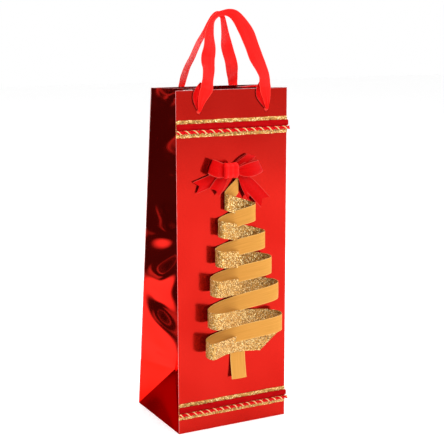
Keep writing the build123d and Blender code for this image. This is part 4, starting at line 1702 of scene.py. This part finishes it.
@dataclass
class Handle:
    """One ribbon handle, gathered into its two holes and pinched at its top.

    Attributes:
        name: front or back.
        outward: -1 for the front handle and 1 for the back one.
        axis_y: where the handle leaves its holes.
        bend_y: where it starts to lean.
        meet_y: where the two handles meet.
        loop: the loop above the top edge, as x, share up the slope and width share.
        tucks: the folds of ribbon behind it over the holes, as x, height over the hole and
            width share.
        climb: height over the holes where it starts to lean.
        rise: height of the loop above that.
        tuck_gap: how far a tuck lies behind the handle's own face.
        skew: how far its flat side is turned from square at its widest, in radians.
        skew_reach: the width that it would show there, as a share of its own.
    """

    name: str
    outward: int
    finishes: Finishes
    axis_y: float
    bend_y: float
    meet_y: float
    loop: tuple[Triple, ...]
    tucks: tuple[tuple[Triple, ...], ...]
    climb: float = 22.0
    rise: float = 76.0
    width: float = 15.0
    ribbon: float = 0.45
    tuck_gap: float = 0.9
    skew: float = 0.487
    skew_reach: float = 1.132

    def strip(self, name: str, line: Points, behind: float, turned: bool, finish: Material) -> Piece:
        """Make one run of the ribbon along a line.

        Args:
            name: the piece's name.
            line: rows of x, height over the hole and width share.
            behind: how far it lies behind the handle's own face.
            turned: whether it turns edge-on where it looks narrow.
            finish: the ribbon's material.

        Returns:
            The linked object.
        """
        x, up = line[:, 0:1], line[:, 1:2]
        wide = np.clip(line[:, 2:3], 0.1, 1.12)
        low = np.clip(up / self.climb, 0.0, 1.0)
        high = np.clip((up - self.climb) / self.rise, 0.0, 1.0)
        y = self.axis_y + (self.bend_y - self.axis_y) * low + (self.meet_y - self.bend_y) * high
        tangent = unit(np.gradient(line[:, :2], axis=0))
        share = np.linspace(-0.5, 0.5, 15)[None, :]
        shown = np.minimum(wide, 1.0)
        angle = np.maximum(np.arccos(shown / self.skew_reach) - self.skew, 0.0)
        above = smoothstep((up - 16.0) / 16.0) * turned
        leg = above * (1 - smoothstep((high - 0.55) / 0.22))
        wide = wide + (np.maximum(np.cos(angle), wide) - wide) * leg
        crest = 0.16 * np.sqrt(1 - shown**2) * (above - leg)
        flip = np.clip((np.argmax(up) - np.arange(len(line))) / 14.0, -1.0, 1.0)[:, None]
        depth = self.width * (np.sin(angle) * leg + crest) * (0.5 - self.outward * share * flip)
        near_hole = 1 - smoothstep(up / 20.0)
        pleat = near_hole * 0.6 * np.cos(5 * math.pi * share)
        crown = 0.5 * (1 - (2 * share) ** 2) * (1 - near_hole)
        travel = run(line[:, :2])[:, None]
        ripple = 0.35 * np.sin(travel / 6.5 + 2.2 * share) + 0.2 * np.sin(travel / 3.1)
        ripple = (1 - near_hole) * ripple
        wavy = wide * (1 + 0.03 * np.sin(travel / 4.3) * (1 - near_hole))
        spread = share * self.width * wavy
        grid = lattice(
            x - tangent[:, 1:2] * spread,
            y + self.outward * (depth + pleat + crown + ripple - behind),
            HOLE_HEIGHT + up + tangent[:, 0:1] * spread,
        )
        return grid_shell(name, grid, self.ribbon, (finish,) * 3)

    def build(self) -> None:
        """Make the handle's ribbon and its gathered ends."""
        half = HOLE_PITCH / 2
        loop = [(x, self.climb + share * self.rise, wide) for x, share, wide in self.loop]
        left = [(-half, 0.0, 0.14), (loop[0][0] - 5.0, 11.0, 0.55)]
        right = [(loop[-1][0] + 1.8, 11.0, 0.55), (half, 0.0, 0.14)]
        line = spline(left + loop + right, 240)
        satin = self.finishes.red_satin
        made = [self.strip(f"{self.name}_handle_main", line, 0.0, True, satin)]
        length = float(run(line[:, :2])[-1])
        area = self.width * length * 0.8
        for index, tuck in enumerate(self.tucks):
            fold = spline(tuck, 40)
            name = f"{self.name}_tuck_{index}"
            # The tucks take the darker satin copy: painted shade where they face down and away.
            made.append(self.strip(name, fold, self.tuck_gap, False, self.finishes.bow_satin_painted_shade))
            area += self.width * 0.4 * float(fold[-1][1] - fold[0][1])
        piece = join(f"{self.name}_handle_loop", made)
        recalc(piece)
        area = min(area, self.width * length)
        settle(piece, "red_satin", f"{self.name}_handle_ribbon", body=f"{self.name}_handle")
        dress_node(f"{self.name}_knots", satin)


FRONT_LOOP = (
    (-30.2, 0.00, 0.90),
    (-27.9, 0.11, 0.78),
    (-24.6, 0.24, 0.92),
    (-22.9, 0.36, 1.03),
    (-19.3, 0.52, 0.85),
    (-16.2, 0.70, 0.72),
    (-10.5, 0.86, 0.42),
    (-3.5, 0.94, 0.36),
    (3.5, 0.965, 0.37),
    (10.0, 0.965, 0.52),
    (16.0, 0.93, 0.76),
    (21.0, 0.85, 0.94),
    (25.6, 0.73, 1.05),
    (28.6, 0.60, 1.10),
    (31.3, 0.41, 1.02),
    (34.4, 0.25, 0.90),
    (36.1, 0.14, 0.84),
    (35.5, 0.00, 0.80),
)
FRONT_TUCKS = (
    (
        (-38.0, 0.5, 0.12),
        (-40.2, 8.0, 0.38),
        (-41.2, 15.0, 0.46),
        (-38.6, 22.0, 0.40),
        (-34.5, 28.0, 0.12),
    ),
    (
        (38.0, 0.5, 0.12),
        (33.4, 8.0, 0.42),
        (29.6, 15.0, 0.50),
        (30.2, 22.0, 0.44),
        (33.5, 29.0, 0.12),
    ),
)
BACK_LOOP = (
    (-26.3, 0.00, 0.46),
    (-21.8, 0.24, 0.39),
    (-17.1, 0.41, 0.35),
    (-12.5, 0.62, 0.36),
    (-6.5, 0.86, 0.38),
    (-1.0, 0.95, 0.36),
    (5.0, 0.93, 0.36),
    (9.0, 0.83, 0.52),
    (14.0, 0.66, 0.72),
    (20.0, 0.46, 0.88),
    (25.5, 0.31, 0.98),
    (29.5, 0.18, 0.93),
    (32.2, 0.09, 0.80),
    (33.2, 0.00, 0.70),
)

# How far off the panels the handles hang at their holes, and half of what parts them at the top.
HOLE_GAP = 2.2
MEET_GAP = 0.8


def main() -> None:
    """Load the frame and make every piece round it."""
    logging.basicConfig(level=logging.INFO, format="%(message)s")
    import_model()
    Studio().build()
    finishes = Finishes()
    flakes = Flakes(finishes)
    wrapper = Wrapper(finishes)
    wrapper.build()
    TrimBand("top", finishes, flakes, 9.2).build()
    TrimBand("base", finishes, flakes, 7.8).build()
    RibbonTree(finishes, flakes, wrapper.front).build()
    Bow(finishes, wrapper.front).build()
    front = wrapper.front - HOLE_GAP
    back = wrapper.back(HOLE_HEIGHT) + HOLE_GAP
    bend = back - Handle.climb * (wrapper.half_depth - wrapper.mouth_back) / wrapper.height
    meet = (wrapper.front + wrapper.back(wrapper.height)) / 2
    Handle("front", -1, finishes, front, front, meet - MEET_GAP, FRONT_LOOP, FRONT_TUCKS).build()
    Handle("back", 1, finishes, back, bend, meet + MEET_GAP, BACK_LOOP, ()).build()
    bpy.context.view_layer.update()


if __name__ == "__main__":
    main()
